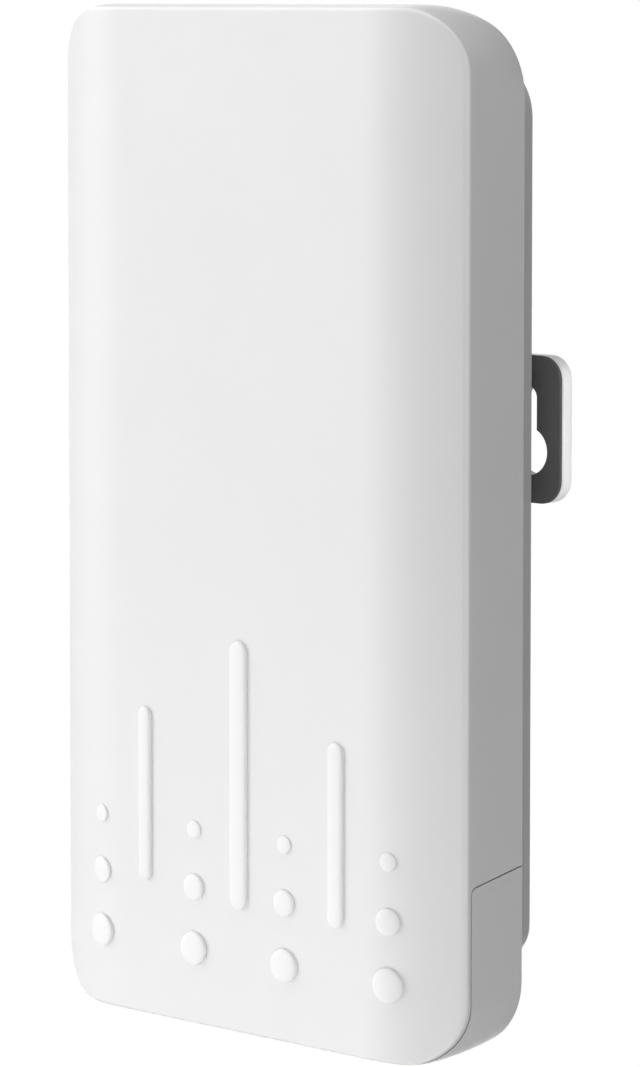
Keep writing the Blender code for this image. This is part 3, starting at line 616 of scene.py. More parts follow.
def raised_pattern():
    shapes = []
    for i, (x, bottom, top, width) in enumerate(BARS):
        shapes.append(dome(f"bar_{i}", x, (top + bottom) / 2, width, BAR_RISE, top - bottom))
    for i, x in enumerate(DOT_COLUMNS):
        for j, (z, diameter) in enumerate(DOT_ROWS):
            shapes.append(dome(f"dot_{i}_{j}", x, z, diameter, DOT_RISE * diameter))
    return gather("raised_pattern", shapes)


# ---------------------------------------------------------------- finishes


class Nodes:
    """A small helper that links shader nodes by name."""

    def __init__(self, name):
        self.material = bpy.data.materials.new(name)
        self.material.use_nodes = True
        self.tree = self.material.node_tree
        self.shader = self.tree.nodes["Principled BSDF"]
        self.where = self.add("ShaderNodeTexCoord").outputs["Object"]

    def add(self, kind, **values):
        node = self.tree.nodes.new(kind)
        for key, value in values.items():
            setattr(node, key, value)
        return node

    def link(self, source, target):
        self.tree.links.new(source, target)

    def noise(self, scale, detail=3.0, stretch=(1, 1, 1)):
        """Noise in the object's own space, in cells per metre."""
        mapping = self.add("ShaderNodeMapping")
        mapping.inputs["Scale"].default_value = stretch
        made = self.add("ShaderNodeTexNoise")
        made.inputs["Scale"].default_value = scale
        made.inputs["Detail"].default_value = detail
        self.link(self.where, mapping.inputs["Vector"])
        self.link(mapping.outputs["Vector"], made.inputs["Vector"])
        return made.outputs["Fac"]

    def spread(self, value, low, high, start=0.3, end=0.7):
        """Maps a value's range onto another."""
        made = self.add("ShaderNodeMapRange")
        made.inputs["From Min"].default_value = start
        made.inputs["From Max"].default_value = end
        made.inputs["To Min"].default_value = low
        made.inputs["To Max"].default_value = high
        self.link(value, made.inputs["Value"])
        return made.outputs["Result"]

    def math(self, operation, first, second):
        """A sum on two values, each a number or an output."""
        made = self.add("ShaderNodeMath", operation=operation)
        for socket, value in zip(made.inputs, (first, second)):
            if isinstance(value, (int, float)):
                socket.default_value = value
            else:
                self.link(value, socket)
        return made.outputs[0]

    def blend(self, share, first, second):
        """Mixes two colours, each a colour or an output."""
        made = self.add("ShaderNodeMix", data_type="RGBA")
        self.link(share, made.inputs["Factor"])
        for socket, colour in ((made.inputs[6], first), (made.inputs[7], second)):
            if isinstance(colour, tuple):
                socket.default_value = (*colour, 1)
            else:
                self.link(colour, socket)
        return made.outputs[2]

    def edges(self, radius):
        """1 along convex and concave edges within a radius in metres, 0 on open faces."""
        soft = self.add("ShaderNodeBevel", samples=4)
        soft.inputs["Radius"].default_value = radius
        plain = self.add("ShaderNodeNewGeometry")
        dot = self.add("ShaderNodeVectorMath", operation="DOT_PRODUCT")
        self.link(soft.outputs["Normal"], dot.inputs[0])
        self.link(plain.outputs["Normal"], dot.inputs[1])
        return self.spread(dot.outputs["Value"], 1.0, 0.0, 0.8, 0.995)

    def finish(self, colour, roughness):
        """Sets the surface's colour and roughness, and returns its material."""
        self.link(colour, self.shader.inputs["Base Color"])
        self.link(roughness, self.shader.inputs["Roughness"])
        return self.material

    def bump(self, value, depth):
        made = self.add("ShaderNodeBump")
        made.inputs["Strength"].default_value = 1.0
        made.inputs["Distance"].default_value = depth
        self.link(value, made.inputs["Height"])
        self.link(made.outputs["Normal"], self.shader.inputs["Normal"])


def painted_rim_highlight(nodes):
    """Where the painted highlight along the front's rounded rim lies: 1 on the rounded edge round the
    bowed front face, 0 on the face and on the walls behind it.
    """
    split = nodes.add("ShaderNodeSeparateXYZ")
    nodes.link(nodes.where, split.inputs[0])
    across = nodes.math("ABSOLUTE", split.outputs["X"], 0)
    past = nodes.math("MAXIMUM", nodes.math("SUBTRACT", across, FLAT_HALF_WIDTH * MM), 0)
    share = nodes.math("DIVIDE", past, (HALF_WIDTH - FLAT_HALF_WIDTH) * MM)
    face = nodes.math("MULTIPLY", nodes.math("POWER", share, 2), BOW_DROP * MM)
    depth = nodes.math("SUBTRACT", nodes.math("SUBTRACT", split.outputs["Y"], ORIGIN.y), face)
    begins, ends = ([part * EDGE_ROUND * MM for part in fade] for fade in (RIM_HIGHLIGHT_BEGINS, RIM_HIGHLIGHT_ENDS))
    return nodes.math("MULTIPLY", nodes.spread(depth, 0, 1, *begins), nodes.spread(depth, 1, 0, *ends))


def shade(colour, factor):
    return tuple(min(1.0, channel * factor) for channel in colour)


def moulded(name, colour, roughness, grain=2500, depth=0.00002, mottle=0.03, worn=0.08, rim=False):
    """Moulded plastic or rubber: faint mottling, a fine moulded grain and edges rubbed a little paler.
    With rim, also a painted highlight along the rounded rim of the bowed front face.
    """
    nodes = Nodes(name)
    clouds = nodes.spread(nodes.noise(28), 0, 1)
    body = nodes.blend(clouds, shade(colour, 1 - mottle), shade(colour, 1 + mottle))
    patchy = nodes.math("MULTIPLY", nodes.edges(0.00035), nodes.spread(nodes.noise(90), 0.2, 1.0))
    tone = nodes.blend(nodes.math("MULTIPLY", patchy, worn), body, RUBBED_WHITE)
    # painted highlight: a paler band along the rounded rim of the bowed front face
    if rim:
        tone = nodes.blend(painted_rim_highlight(nodes), tone, RIM_HIGHLIGHT_WHITE)
    nodes.bump(nodes.noise(grain, 2.0), depth)
    return nodes.finish(tone, nodes.spread(nodes.noise(160), roughness - 0.04, roughness + 0.04))


def plated(name, colour, roughness, brush=(1, 1, 1), scale=900, tarnish=0.12):
    """Plated or rolled metal: brushed streaks, faint stains and brighter rubbed edges."""
    nodes = Nodes(name)
    nodes.shader.inputs["Metallic"].default_value = 1.0
    streaks = nodes.noise(scale, 4.0, brush)
    stains = nodes.spread(nodes.noise(140), 0, 1)
    body = nodes.blend(stains, shade(colour, 1 - tarnish), shade(colour, 1 + tarnish / 2))
    tone = nodes.blend(nodes.edges(0.0002), body, shade(colour, 1.15))
    nodes.bump(streaks, 0.000008)
    return nodes.finish(tone, nodes.spread(streaks, roughness - 0.07, roughness + 0.1))


def solder_mask(name):
    """A circuit board: green mask over lighter copper runs, with rows of tinned dots."""
    nodes = Nodes(name)
    runs = nodes.add("ShaderNodeTexVoronoi", feature="DISTANCE_TO_EDGE", distance="MANHATTAN")
    runs.inputs["Scale"].default_value = 260
    nodes.link(nodes.where, runs.inputs["Vector"])
    copper = nodes.spread(runs.outputs["Distance"], 1, 0, 0.05, 0.09)
    mask = nodes.blend(copper, (0.015, 0.12, 0.06), (0.04, 0.24, 0.11))
    pads = nodes.add("ShaderNodeTexVoronoi")
    pads.inputs["Scale"].default_value = 420
    nodes.link(nodes.where, pads.inputs["Vector"])
    tinned = nodes.spread(pads.outputs["Distance"], 1, 0, 0.12, 0.16)
    tone = nodes.blend(tinned, mask, (0.62, 0.6, 0.55))
    nodes.bump(copper, 0.00003)
    return nodes.finish(tone, nodes.spread(nodes.noise(200), 0.32, 0.45))


def clear(name):
    """Polished clear plastic with faint clouding."""
    nodes = Nodes(name)
    tone = nodes.blend(nodes.spread(nodes.noise(300), 0, 1), (0.9, 0.93, 0.95), (0.8, 0.85, 0.88))
    nodes.shader.inputs["Transmission Weight"].default_value = 0.85
    nodes.shader.inputs["IOR"].default_value = 1.49
    nodes.bump(nodes.noise(1500), 0.000005)
    return nodes.finish(tone, nodes.spread(nodes.noise(500), 0.08, 0.2))


WHITE = (0.80, 0.80, 0.80)
# a lighter copy of the white plastic for the raised bars and dots: a painted highlight on their tops
RAISED_HIGHLIGHT_TONE = (0.87, 0.87, 0.87)
# the tone of the thin dark sheet that darkens the wall plate's front face
DARK_SHEET_GREY = (0.097, 0.097, 0.098)
SEAL = (0.045, 0.045, 0.048)
LAMINATE = (0.72, 0.70, 0.60)
BLACK = (0.022, 0.022, 0.023)
NYLON = (0.80, 0.78, 0.70)
SILICONE = (0.35, 0.45, 0.62)
JACKET = (0.03, 0.03, 0.033)
# colour of the painted highlight along the front face's rounded rim
RIM_HIGHLIGHT_WHITE = (0.93, 0.93, 0.93)
RUBBED_WHITE = (0.95, 0.95, 0.95)
RIM_HIGHLIGHT_BEGINS = (0.02, 0.3)  # where the painted rim highlight fades in and out, in shares of EDGE_ROUND
RIM_HIGHLIGHT_ENDS = (0.5, 1.0)
# the raised bars and dots take the lighter copy of the white plastic: painted highlight
RAISED_HIGHLIGHT_FINISH = moulded("white_plastic_raised_highlight", RAISED_HIGHLIGHT_TONE, 0.4, mottle=0.006, worn=0.2)
FINISHES = {
    # the white plastic carries the painted rim highlight
    "white_plastic": moulded("white_plastic_satin", WHITE, 0.42, mottle=0.006, worn=0.2, rim=True),
    "dark_rubber": moulded("plate_face_dark_sheet", DARK_SHEET_GREY, 0.78, 1400, 0.00006, 0.12, 0.03),
    "seal_rubber": moulded("seal_rubber_moulded", SEAL, 0.66, 1800, 0.00004, 0.1, 0.04),
    "board_green": solder_mask("board_solder_mask"),
    "feed_laminate": moulded("feed_laminate_weave", LAMINATE, 0.5, 1200, 0.00003, 0.05, 0.05),
    "zinc_steel": plated("zinc_plated_steel", (0.60, 0.61, 0.64), 0.3, (1, 1, 6)),
    "tin_plate": plated("tinned_sheet", (0.70, 0.71, 0.72), 0.27, (1, 1, 14), 500),
    "aluminium": plated("rolled_aluminium", (0.76, 0.77, 0.78), 0.34, (16, 1, 1), 350),
    "plated_copper": plated("plated_contact_metal", (0.83, 0.62, 0.32), 0.3, (10, 1, 1), 500),
    "black_plastic": moulded("black_plastic_moulded", BLACK, 0.48, 2200, 0.00002, 0.1, 0.05),
    "natural_nylon": moulded("natural_nylon_moulded", NYLON, 0.5, 1800, 0.00002, 0.03, 0.06),
    "clear_plastic": clear("clear_plastic_polished"),
    "thermal_silicone": moulded("thermal_silicone_sheet", SILICONE, 0.8, 900, 0.00008, 0.08, 0.02),
    "coax_jacket": moulded("coax_jacket_extruded", JACKET, 0.42, 1600, 0.00002, 0.08, 0.04),
}


def finish_cad_nodes():
    """Gives every CAD node that still shows the finish of its slot."""
    slots = {part["node"]: part["material_slot"] for part in frame["record"]["subparts"]}
    for name, obj in frame["nodes"].items():
        obj.data.materials.clear()
        obj.data.materials.append(FINISHES[slots[name]])


# ---------------------------------------------------------------- pieces


def boss_places():
    """The front shell's screw bosses: x, z, radius, end, bore radius, bore depth."""
    kinds = ((SHELL_SCREWS, SHELL_BOSS), (BOARD_SCREWS, BOARD_BOSS), (ANTENNA_SCREWS, ANTENNA_BOSS))
    return [(x, z, *boss) for places, boss in kinds for x, z in places]


def middle_x(node):
    low, high = node_box(node)
    return (low.x + high.x) / 2


def bulkhead_holes():
    low, high = BULKHEAD_BOTTOM - OVERCUT, BULKHEAD_TOP + OVERCUT
    holes = []
    for name in JACKS:
        jack_low, jack_high = node_box(name)
        holes.append(block(f"{name}_hole", *within(jack_low, jack_high, -GAP), (low, high)))
    x = middle_x("reset_button")
    holes.append(peg("reset_hole", RESET_HOLE, (x, BUTTON_Y, low), (x, BUTTON_Y, high)))
    x = middle_x("mode_switch_body")
    half_width, half_depth = MODE_HOLE
    slot = (x - half_width, x + half_width), (BUTTON_Y - half_depth, BUTTON_Y + half_depth)
    holes.append(block("mode_hole", *slot, (low, high)))
    for i, x in enumerate(LIGHTS_X):
        holes.append(peg(f"light_hole_{i}", LIGHT_HOLE, (x, BUTTON_Y, low), (x, BUTTON_Y, high), 24))
    return gather("bulkhead_holes", holes)


def make_front_shell():
    shell = loft("front_moulding", body_rings())
    cavity = loft("front_cavity", cavity_rings())
    across = (-HALF_WIDTH - OVERCUT, HALF_WIDTH + OVERCUT)
    slab = block("bulkhead", across, (-OVERCUT, BULKHEAD_BACK), (BULKHEAD_BOTTOM, BULKHEAD_TOP))
    carve(cavity, ("DIFFERENCE", slab))
    bosses, pilots = [], []
    for i, (x, z, radius, end, bore, depth) in enumerate(boss_places()):
        start = bow(abs(x) + radius) + 0.1
        bosses.append(peg(f"boss_{i}", radius, (x, start, z), (x, end, z), 28))
        pilots.append(peg(f"pilot_{i}", bore, (x, end - depth, z), (x, end + OVERCUT, z), 20))
    carve(
        shell,
        ("DIFFERENCE", cavity),
        ("UNION", gather("bosses", bosses)),
        ("DIFFERENCE", gather("pilots", pilots)),
        ("DIFFERENCE", cover_space("cover_space_shell", 0.0)),
        ("DIFFERENCE", bulkhead_holes()),
    )
    show(shell, "white_plastic", nodes=("front_shell",))
    # the raised pattern in the lighter copy of the white plastic, a painted highlight on its tops
    show(raised_pattern(), "white_plastic", finish=RAISED_HIGHLIGHT_FINISH)


def plateau_rings(inset, front, back, rounding=0.0):
    """The rear shell's raised back, with a rounded rim when rounding is given."""
    base = HALF_WIDTH - SIDE_TAPER - PLATEAU_BASE_INSET
    rings = []
    stations = [(0.0, front, 0.0), (1.0, back - rounding, 0.0)]  # share of the draft, depth, shrink
    if rounding:
        for i in range(1, FILLET_STEPS + 1):
            turn = math.radians(90 * i / FILLET_STEPS)
            rise, shrink = rounding * (1 - math.sin(turn)), rounding * (1 - math.cos(turn))
            stations.append((1.0, back - rise, shrink))
    for share, depth, shrink in stations:
        draft = PLATEAU_DRAFT * (1 - share)
        rings.append(
            ring(
                base - PLATEAU_DRAFT * share - inset - shrink,
                PLATEAU_TOP + draft - inset - shrink,
                PLATEAU_BOTTOM - draft + inset + shrink,
                PLATEAU_TOP_RADIUS + draft - inset - shrink,
                depth,
                PLATEAU_BOTTOM_RADIUS + draft - inset - shrink,
            )
        )
    return rings


def make_rear_shell():
    half = HALF_WIDTH - SIDE_TAPER - WALL - GAP
    top = HALF_HEIGHT - TOP_TAPER - WALL - GAP
    bottom = PLATEAU_BOTTOM - PLATEAU_DRAFT
    radius = BACK_CORNER_RADIUS - WALL
    front = SHELL_DEPTH - WALL
    flange = []
    for depth, cut in ((front, 0.0), (SHELL_DEPTH - 0.1, 0.0), (SHELL_DEPTH + 0.2, 0.3)):
        size = half - cut, top - cut, bottom + cut, radius - cut
        flange.append(ring(*size, depth, PLATEAU_BOTTOM_RADIUS))
    shell = loft("rear_moulding", flange)
    bosses, shanks, recesses = [], [], []
    boss_back = PLATEAU_BACK - 1
    for i, (x, z) in enumerate(SHELL_SCREWS):
        bosses.append(peg(f"rear_boss_{i}", REAR_BOSS, (x, front, z), (x, boss_back, z), 30))
        start, end = ((x, y, z) for y in SHANK_HOLE)
        shanks.append(peg(f"shank_hole_{i}", SCREW_HOLE, start, end, 24))
        recesses.append(head_recess(f"head_recess_{i}", x, z))
    for i, x in enumerate(PLATE_SCREWS):
        start, end = (x, PLATE_BOSS_FRONT, PLATE_Z), (x, boss_back, PLATE_Z)
        bosses.append(peg(f"plate_boss_{i}", PLATE_BOSS, start, end))
        start, end = (x, PLATE_PILOT_FRONT, PLATE_Z), (x, PLATEAU_BACK + OVERCUT, PLATE_Z)
        shanks.append(peg(f"plate_pilot_{i}", SCREW_HOLE, start, end, 24))
    back = loft("plateau", plateau_rings(0.0, SHELL_DEPTH + GAP / 2, PLATEAU_BACK, PLATEAU_ROUND))
    inside = plateau_rings(PLATEAU_SIDE_WALL, front - OVERCUT, PLATEAU_BACK - PLATEAU_WALL)
    hollow = loft("plateau_hollow", inside)
    carve(
        shell,
        ("UNION", back),
        ("DIFFERENCE", hollow),
        ("UNION", gather("rear_bosses", bosses)),
        ("DIFFERENCE", gather("rear_shanks", shanks)),
        ("DIFFERENCE", gather("head_recesses", recesses)),
    )
    show(shell, "white_plastic", nodes=("rear_shell",))


def head_recess(name, x, z):
    """The recess of a screw head in the back face, with its edge broken."""
    radius, depth, edge = HEAD_RECESS
    profile = [(0, -depth), (radius, -depth), (radius, -edge), (radius + 2 * edge, edge), (0, edge)]
    return turned(name, profile, (x, PLATEAU_BACK, z), (0, 1, 0))


def make_port_cover():
    cover = loft("cover_moulding", body_rings())
    half = HALF_WIDTH - SIDE_TAPER - WALL
    back = SHELL_DEPTH - WALL
    lip, floor_lip = HALF_WIDTH - COVER_LIP, -HALF_HEIGHT - BULGE + COVER_LIP
    floor, edge = -HALF_HEIGHT + WALL, RIM + COVER_GAP
    hollow = [
        ring(lip, 0.0, floor_lip, CORNER_RADIUS, lambda x: bow(x) - 2),
        ring(lip, 0.0, floor_lip, CORNER_RADIUS, lambda x: bow(x) + edge),
        ring(half, 0.0, floor, COVER_FLOOR_RADIUS, lambda x: bow(x) + edge + COVER_BEVEL),
        ring(half, 0.0, floor, COVER_FLOOR_RADIUS, back),
    ]
    notch_low = PLATEAU_BOTTOM - PLATEAU_DRAFT - GAP
    notch = []
    for depth in (back - OVERCUT, SHELL_DEPTH + 2 * OVERCUT):
        notch.append(ring(half, 0.0, notch_low, NOTCH_RADIUS, depth, PLATEAU_BOTTOM_RADIUS))
    at = level(-HALF_HEIGHT + 1)
    opening = sheet("cable_opening", [rounded_slot(*CABLE_OPENING)], -3, 3, 0.0, at)
    carve(
        cover,
        ("INTERSECT", cover_space("cover_limits", COVER_GAP)),
        ("DIFFERENCE", loft("cover_hollow", hollow)),
        ("DIFFERENCE", loft("cover_notch", notch)),
        ("DIFFERENCE", opening),
    )
    show(cover, "white_plastic", "port_cover", ("port_cover",))


def make_grommet():
    """The rubber cable inlet: a plug through the floor with a wide lip inside."""
    low, high = node_box("cable_grommet")
    lip_low = -HALF_HEIGHT + WALL + GAP
    plug_high = lip_low + 1  # inside the lip, so that the two join
    passage = rounded_slot(*CABLE_PASSAGE)
    plug_at, lip_at = level((low.z + plug_high) / 2), level((lip_low + high.z) / 2)
    outline = [rounded_slot(*GROMMET_PLUG), passage]
    plug = sheet("grommet_moulding", outline, low.z, plug_high, 0.35, plug_at)
    outline = [rounded_slot(*GROMMET_LIP), passage]
    lip = sheet("grommet_lip", outline, lip_low, high.z, 0.4, lip_at)
    carve(plug, ("UNION", lip))
    show(plug, "seal_rubber", "port_cover", ("cable_grommet",), 50)


def keyhole(x):
    """A round entry below a narrow slot, on the plate's end at x."""
    (low, entry), (high, slot) = KEYHOLE_ROUND, KEYHOLE_SLOT
    meet = math.degrees(math.acos(slot / entry))
    hole = arc((x, PLATE_Z + low), entry, 180 - meet, 360 + meet, 36)
    return hole + arc((x, PLATE_Z + high), slot, 0, 180, 18)


def plate_sheet(name, outlines, low, high, rounding):
    """A sheet in the wall's plane between two depths."""
    return sheet(name, outlines, low, high, rounding, upright((low + high) / 2))


def saddle_outline(margin):
    half, height = SADDLE
    low, high = PLATE_Z - height / 2 - margin, PLATE_Z + height / 2 + margin
    return rounded_rectangle(half + margin, low, high, SADDLE_CORNER + margin)


def make_wall_plate():
    outline = rounded_rectangle(PLATE_HIGH.x, PLATE_LOW.z, PLATE_HIGH.z, PLATE_CORNER)
    keyholes = [keyhole(-KEYHOLE_X), keyhole(KEYHOLE_X)]
    front, back = PAD_HIGH.y + GAP, PLATE_HIGH.y
    plate = plate_sheet("plate_moulding", [outline, *keyholes], front, back, PLATE_ROUND)
    saddle = plate_sheet("saddle", [saddle_outline(0)], PLATE_LOW.y, front + 1, SADDLE_ROUND)
    radius, depth = PLATE_RECESS
    holes, recesses = [], []
    for i, x in enumerate(PLATE_SCREWS):
        start, end = (x, PLATE_LOW.y - OVERCUT, PLATE_Z), (x, back - 1, PLATE_Z)
        holes.append(peg(f"plate_hole_{i}", SCREW_HOLE, start, end, 24))
        start, end = (x, back - depth, PLATE_Z), (x, back + OVERCUT, PLATE_Z)
        recesses.append(peg(f"plate_recess_{i}", radius, start, end, 40))
    carve(
        plate,
        ("UNION", saddle),
        ("DIFFERENCE", gather("plate_holes", holes)),
        ("DIFFERENCE", gather("plate_recesses", recesses)),
    )
    show(plate, "white_plastic", nodes=("wall_bracket",))
    # a thin dark sheet over the plate's front face, so that face shows dark
    window = saddle_outline(GAP)
    pad = plate_sheet("pad_sheet", [outline, *keyholes, window], PAD_LOW.y, PAD_HIGH.y, PAD_ROUND)
    show(pad, "dark_rubber", nodes=("bracket_pad",))


def screw_mesh(name, head_radius, head_height, shank_radius, shank_length):
    """A pan-head screw with a cross recess and a coarse thread, its head's underside at the origin."""
    dome_steps, dome_share, edge = 6, 0.65, 0.12
    profile = [(0, head_height)]
    for i in range(1, dome_steps + 1):
        turn = math.radians(90 * i / dome_steps)
        height = head_height * (1 - dome_share + dome_share * math.cos(turn))
        profile.append((head_radius * math.sin(turn), height))
    profile += [(head_radius, edge), (head_radius - edge, 0), (shank_radius, 0)]
    root = shank_radius * THREAD_ROOT
    for i in range(int((shank_length - 1.2) / THREAD_PITCH)):
        for share, radius in ((0.35, root), (0.6, shank_radius), (0.85, root)):
            profile.append((radius, -THREAD_PITCH * (i + share)))
    profile += [(root, 0.8 - shank_length), (root * 0.4, -shank_length), (0, -shank_length)]
    body = turned(name, profile, (0, 0, 0), (0, 1, 0), 32)
    wide, narrow = head_radius * 0.55, head_radius * 0.13
    depth = (head_height - 0.9, head_height + OVERCUT)
    arm_a = block("arm_a", (-wide, wide), depth, (-narrow, narrow))
    arm_b = block("arm_b", (-narrow, narrow), depth, (-wide, wide))
    carve(body, ("DIFFERENCE", arm_a), ("DIFFERENCE", arm_b))
    mesh = body.data
    mesh.transform(Matrix.Translation(-ORIGIN))
    bpy.data.objects.remove(body)
    return mesh


def make_screws():
    """Every screw, one shape for each kind, at its CAD node's place."""
    for kind, (count, head_radius, head_height, *shank) in SCREWS.items():
        shape = screw_mesh(kind, head_radius, head_height, *shank)
        for i in range(1, count + 1):
            low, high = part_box(f"{kind}_{i}")
            obj = in_scene(bpy.data.objects.new(f"{kind}_{i}_turned", shape.copy()))
            middle = (low + high) / 2
            obj.location = (middle.x, high.y - head_height * MM, middle.z)
            show(obj, "zinc_steel", nodes=(f"{kind}_{i}",), sharp=40)


def make_jack(node):
    """A shielded network socket: can with spring tongues, lining with a latch notch, contacts."""
    low, high = node_box(node)
    x, mouth = (low.x + high.x) / 2, low.z
    across = (low.y + high.y) / 2
    can = block(f"{node}_can", *zip(low, high), 0.4)
    length = (mouth - OVERCUT, high.z - CAN_SHEET)
    hollow = block("can_hollow", *within(low, high, CAN_SHEET), length)
    deep, tall = CAN_WINDOW
    windows = []
    for side, wall in ((-1, low.x), (1, high.x)):
        for row, rise in enumerate(CAN_WINDOW_ROWS):
            window = (wall - 0.8, wall + 0.8), (across - deep / 2, across + deep / 2)
            start = mouth + rise
            windows.append(block(f"window_{side}_{row}", *window, (start, start + tall)))
    carve(can, ("DIFFERENCE", hollow), ("DIFFERENCE", gather("can_windows", windows)))
    show(can, "tin_plate", nodes=(node,))
    length = (mouth + 0.25, high.z - LINING_INSET)
    lining = block(f"{node}_lining", *within(low, high, LINING_INSET), length, 0.25)
    length = (mouth - OVERCUT, mouth + SOCKET_LENGTH)
    cuts = []
    for name, (half, front, back) in (("mouth", SOCKET_MOUTH), ("latch", SOCKET_LATCH)):
        depth = (low.y + front, low.y + back)
        cuts.append(("DIFFERENCE", block(name, (x - half, x + half), depth, length)))
    carve(lining, *cuts)
    show(lining, "black_plastic")
    front = low.y + SOCKET_MOUTH[1]
    for i in range(CONTACTS):
        at = x + (i - (CONTACTS - 1) / 2) * CONTACT_PITCH
        route = [(at, front + out, mouth + up) for out, up in CONTACT_ROUTE]
        contact = tube(f"{node}_contact_{i + 1}", route, CONTACT_RADIUS)
        show(contact, "plated_copper", sharp=60)
    for name, side, wall in (("left", -1, low.x + 0.62), ("right", 1, high.x - 0.62)):
        route = [(wall - side * out, across, mouth + up) for out, up in SPRING_ROUTE]
        show(ribbon(f"{node}_spring_{name}", route, *SPRING_STRIP), "tin_plate")


def make_reset_button():
    """A button with a domed tip below and a collar above the bulkhead."""
    low, high = node_box("reset_button")
    neck, length = BUTTON_RADIUS, high.z - low.z
    collar, collar_top = BULKHEAD_TOP + GAP - low.z, BULKHEAD_TOP + COLLAR_TOP - low.z
    flank, edge = COLLAR_RADIUS, 0.15
    profile = [*BUTTON_TIP, (neck, collar), (flank - 0.1, collar), (flank, collar + edge)]
    profile += [(flank, collar_top - edge), (flank - 0.1, collar_top), (neck, collar_top)]
    profile += [(neck, length - 0.1), (neck - 0.1, length), (0, length)]
    at = (middle_x("reset_button"), BUTTON_Y, low.z)
    button = turned("reset_button_turned", profile, at, (0, 0, 1))
    show(button, "black_plastic", "reset_button", ("reset_button",))


def make_mode_slider():
    """A slider with three grooves across its tip."""
    low, high = node_box("mode_switch_slider")
    slider = block("mode_slider_moulding", *zip(low, high), 0.2)
    grooves = []
    for i in range(3):
        x = low.x + (high.x - low.x) * (i + 1) / 4
        wide = (x - GROOVE_HALF_WIDTH, x + GROOVE_HALF_WIDTH)
        deep, tall = (low.y - OVERCUT, high.y + OVERCUT), (low.z - OVERCUT, low.z + GROOVE_DEPTH)
        grooves.append(block(f"rib_{i}", wide, deep, tall))
    carve(slider, ("DIFFERENCE", gather("slider_ribs", grooves)))
    show(slider, "natural_nylon", "mode_slider", ("mode_switch_slider",))


def make_light_guide():
    """A bar above the bulkhead with a prong through each of its holes."""
    low, high = node_box("led_light_guide")
    bar_low = BULKHEAD_TOP + GAP
    wide, deep = zip(low.xy, high.xy)
    guide = block("light_guide_moulding", wide, deep, (bar_low, high.z), 0.3)
    length = bar_low + 0.5 - low.z
    tip = [*PRONG_TIP, (PRONG_RADIUS, length), (0, length)]
    prongs = []
    for i, x in enumerate(LIGHTS_X):
        prongs.append(turned(f"prong_{i}", tip, (x, BUTTON_Y, low.z), (0, 0, 1), 32))
    carve(guide, ("UNION", gather("light_prongs", prongs)))
    show(guide, "clear_plastic", nodes=("led_light_guide",))


# ---------------------------------------------------------------- stage, light and camera


FLOOR_DROP = 1.3  # metres from the housing down to the floor, so that views from below stay above it
STAGE_RADIUS = 7.0
WORLD_GREY = 0.119
CAMERA_AT = (613.6, -669.0, 110.8)
CAMERA_PITCH = 4.33
CAMERA_TURN = 41.46
CAMERA_LENS = 148.05
CAMERA_SHIFT = -0.1972

# Area lamps: azimuth (0 is in front, 90 on the right), elevation, distance, size, watts, target
LAMPS = {
    "key_left": (-60, 10, 1.4, 1.0, 7.2),
    "key_front": (-40, 10, 1.4, 1.0, 4.0),
    "high_left": (-80, 35, 1.4, 1.0, 9.2),
    "low_left": (-40, -35, 0.7, 0.5, 1.68),
    "low_right": (40, -35, 0.7, 0.5, 2.36),
    "side_right": (100, -20, 1.4, 1.0, 1.08),
    "crease_right": (80, 5, 1.4, 0.2, 0.87),
    "back_left": (-130, 10, 1.4, 1.0, 4.1),
    "back_fill": (-140, -15, 1.4, 1.0, 6.5),
    "corner_above": (30, 80, 0.3, 0.2, 0.3, (30, 0, 108)),
    "corner_right": (60, 60, 0.3, 0.1, 0.2, (40, 0, 108)),
    "corner_front": (10, 60, 0.25, 0.15, 0.04, (40, 0, 100)),
}
# A small focused lamp for the right-hand edge of the wall plate
TAB_LAMP = (90, 0, 0.03, 0.03, 0.00029)
TAB_LAMP_WIDTH = 0.004
TAB_LAMP_SPREAD = 15


def flat_material(name, colour, emission):
    nodes = Nodes(name)
    soft = nodes.blend(nodes.spread(nodes.noise(1.5), 0, 1), shade(colour, 0.99), colour)
    nodes.link(soft, nodes.shader.inputs["Base Color"])
    nodes.shader.inputs["Roughness"].default_value = 0.9
    nodes.shader.inputs["Emission Color"].default_value = (1, 1, 1, 1)
    nodes.shader.inputs["Emission Strength"].default_value = emission
    return nodes.material


def make_stage():
    """A plain white floor and surround, seen by the camera only: lamps and world light the model."""
    white = flat_material("stage_white", (0.02, 0.02, 0.02), 1.0)
    bm = bmesh.new()
    bmesh.ops.create_circle(bm, cap_ends=True, segments=96, radius=STAGE_RADIUS)
    bmesh.ops.translate(bm, verts=bm.verts, vec=(0, 0, BODY_BOTTOM - FLOOR_DROP))
    stage_piece("floor", bm, white)
    bm = bmesh.new()
    bmesh.ops.create_icosphere(bm, subdivisions=4, radius=STAGE_RADIUS)
    bmesh.ops.reverse_faces(bm, faces=bm.faces)
    stage_piece("surround", bm, white)


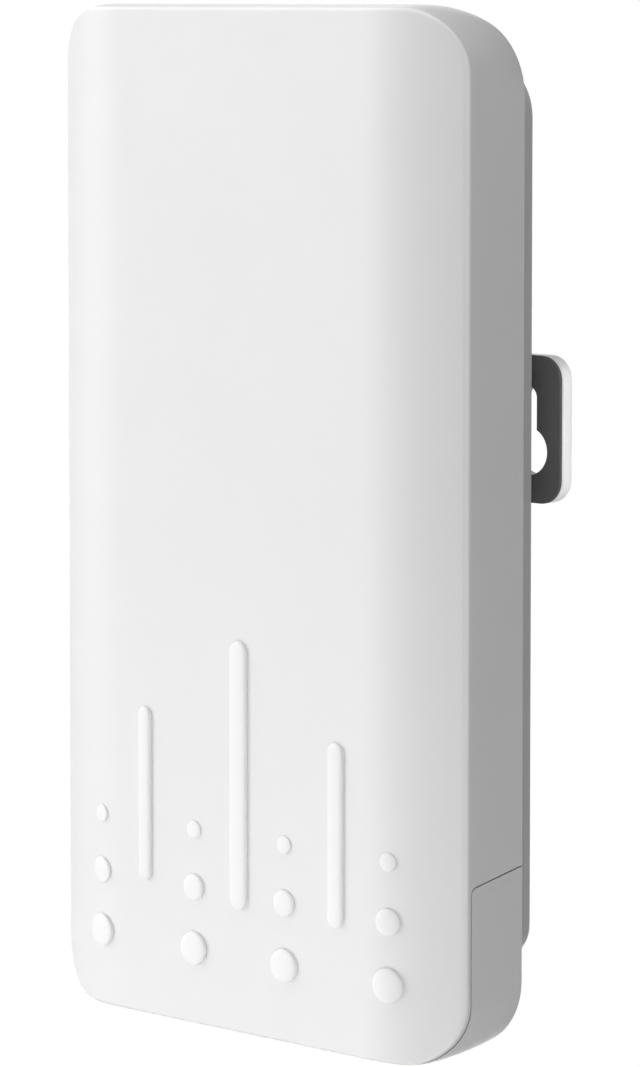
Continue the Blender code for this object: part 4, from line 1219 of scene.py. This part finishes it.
def stage_piece(name, bm, finish):
    mesh = bpy.data.meshes.new(name)
    bm.to_mesh(mesh)
    bm.free()
    obj = in_scene(bpy.data.objects.new(name, mesh))
    mesh.materials.append(finish)
    obj.visible_diffuse = False
    obj.visible_glossy = False
    obj.visible_transmission = False
    obj.visible_shadow = False


def make_world():
    world = bpy.data.worlds.new("studio")
    world.use_nodes = True
    background = world.node_tree.nodes["Background"]
    background.inputs["Color"].default_value = (1, 1, 1, 1)
    background.inputs["Strength"].default_value = WORLD_GREY
    bpy.context.scene.world = world


def softbox(name, azimuth, elevation, distance, size, watts, target=(0, 0, 0)):
    """A square area light that faces a target in the housing's frame."""
    a, e = math.radians(azimuth), math.radians(elevation)
    way = Vector((math.sin(a) * math.cos(e), -math.cos(a) * math.cos(e), math.sin(e)))
    data = bpy.data.lights.new(name, "AREA")
    data.shape = "RECTANGLE"
    data.size = data.size_y = size
    data.energy = watts
    lamp = bpy.data.objects.new(name, data)
    lamp.location = ORIGIN + Vector(target) * MM + way * distance
    lamp.rotation_euler = way.to_track_quat("Z", "Y").to_euler()
    lamp.visible_camera = False
    return in_scene(lamp)


def make_lights():
    """Broad soft light from the left, less from the right and from behind, and the corner lamps."""
    for name, values in LAMPS.items():
        softbox(name, *values)
    edge = (PLATE_HIGH.x, (PAD_HIGH.y + PLATE_HIGH.y) / 2, PLATE_Z)
    tab = softbox("tab_strip", *TAB_LAMP, edge)
    tab.data.size = TAB_LAMP_WIDTH
    tab.data.spread = math.radians(TAB_LAMP_SPREAD)


def make_camera():
    data = bpy.data.cameras.new("camera")
    data.lens = CAMERA_LENS
    data.sensor_width = 36
    data.shift_y = CAMERA_SHIFT
    data.clip_start = 0.05
    data.clip_end = 40
    camera = in_scene(bpy.data.objects.new("camera", data))
    camera.location = ORIGIN + Vector(CAMERA_AT) * MM
    camera.rotation_euler = (math.radians(90 - CAMERA_PITCH), 0, math.radians(CAMERA_TURN))
    bpy.context.scene.camera = camera


finish_cad_nodes()
make_front_shell()
make_rear_shell()
make_port_cover()
make_grommet()
make_wall_plate()
make_screws()
for jack_node in JACKS:
    make_jack(jack_node)
make_reset_button()
make_mode_slider()
make_light_guide()
make_stage()
make_world()
make_lights()
make_camera()
bpy.context.scene.view_settings.view_transform = "Standard"
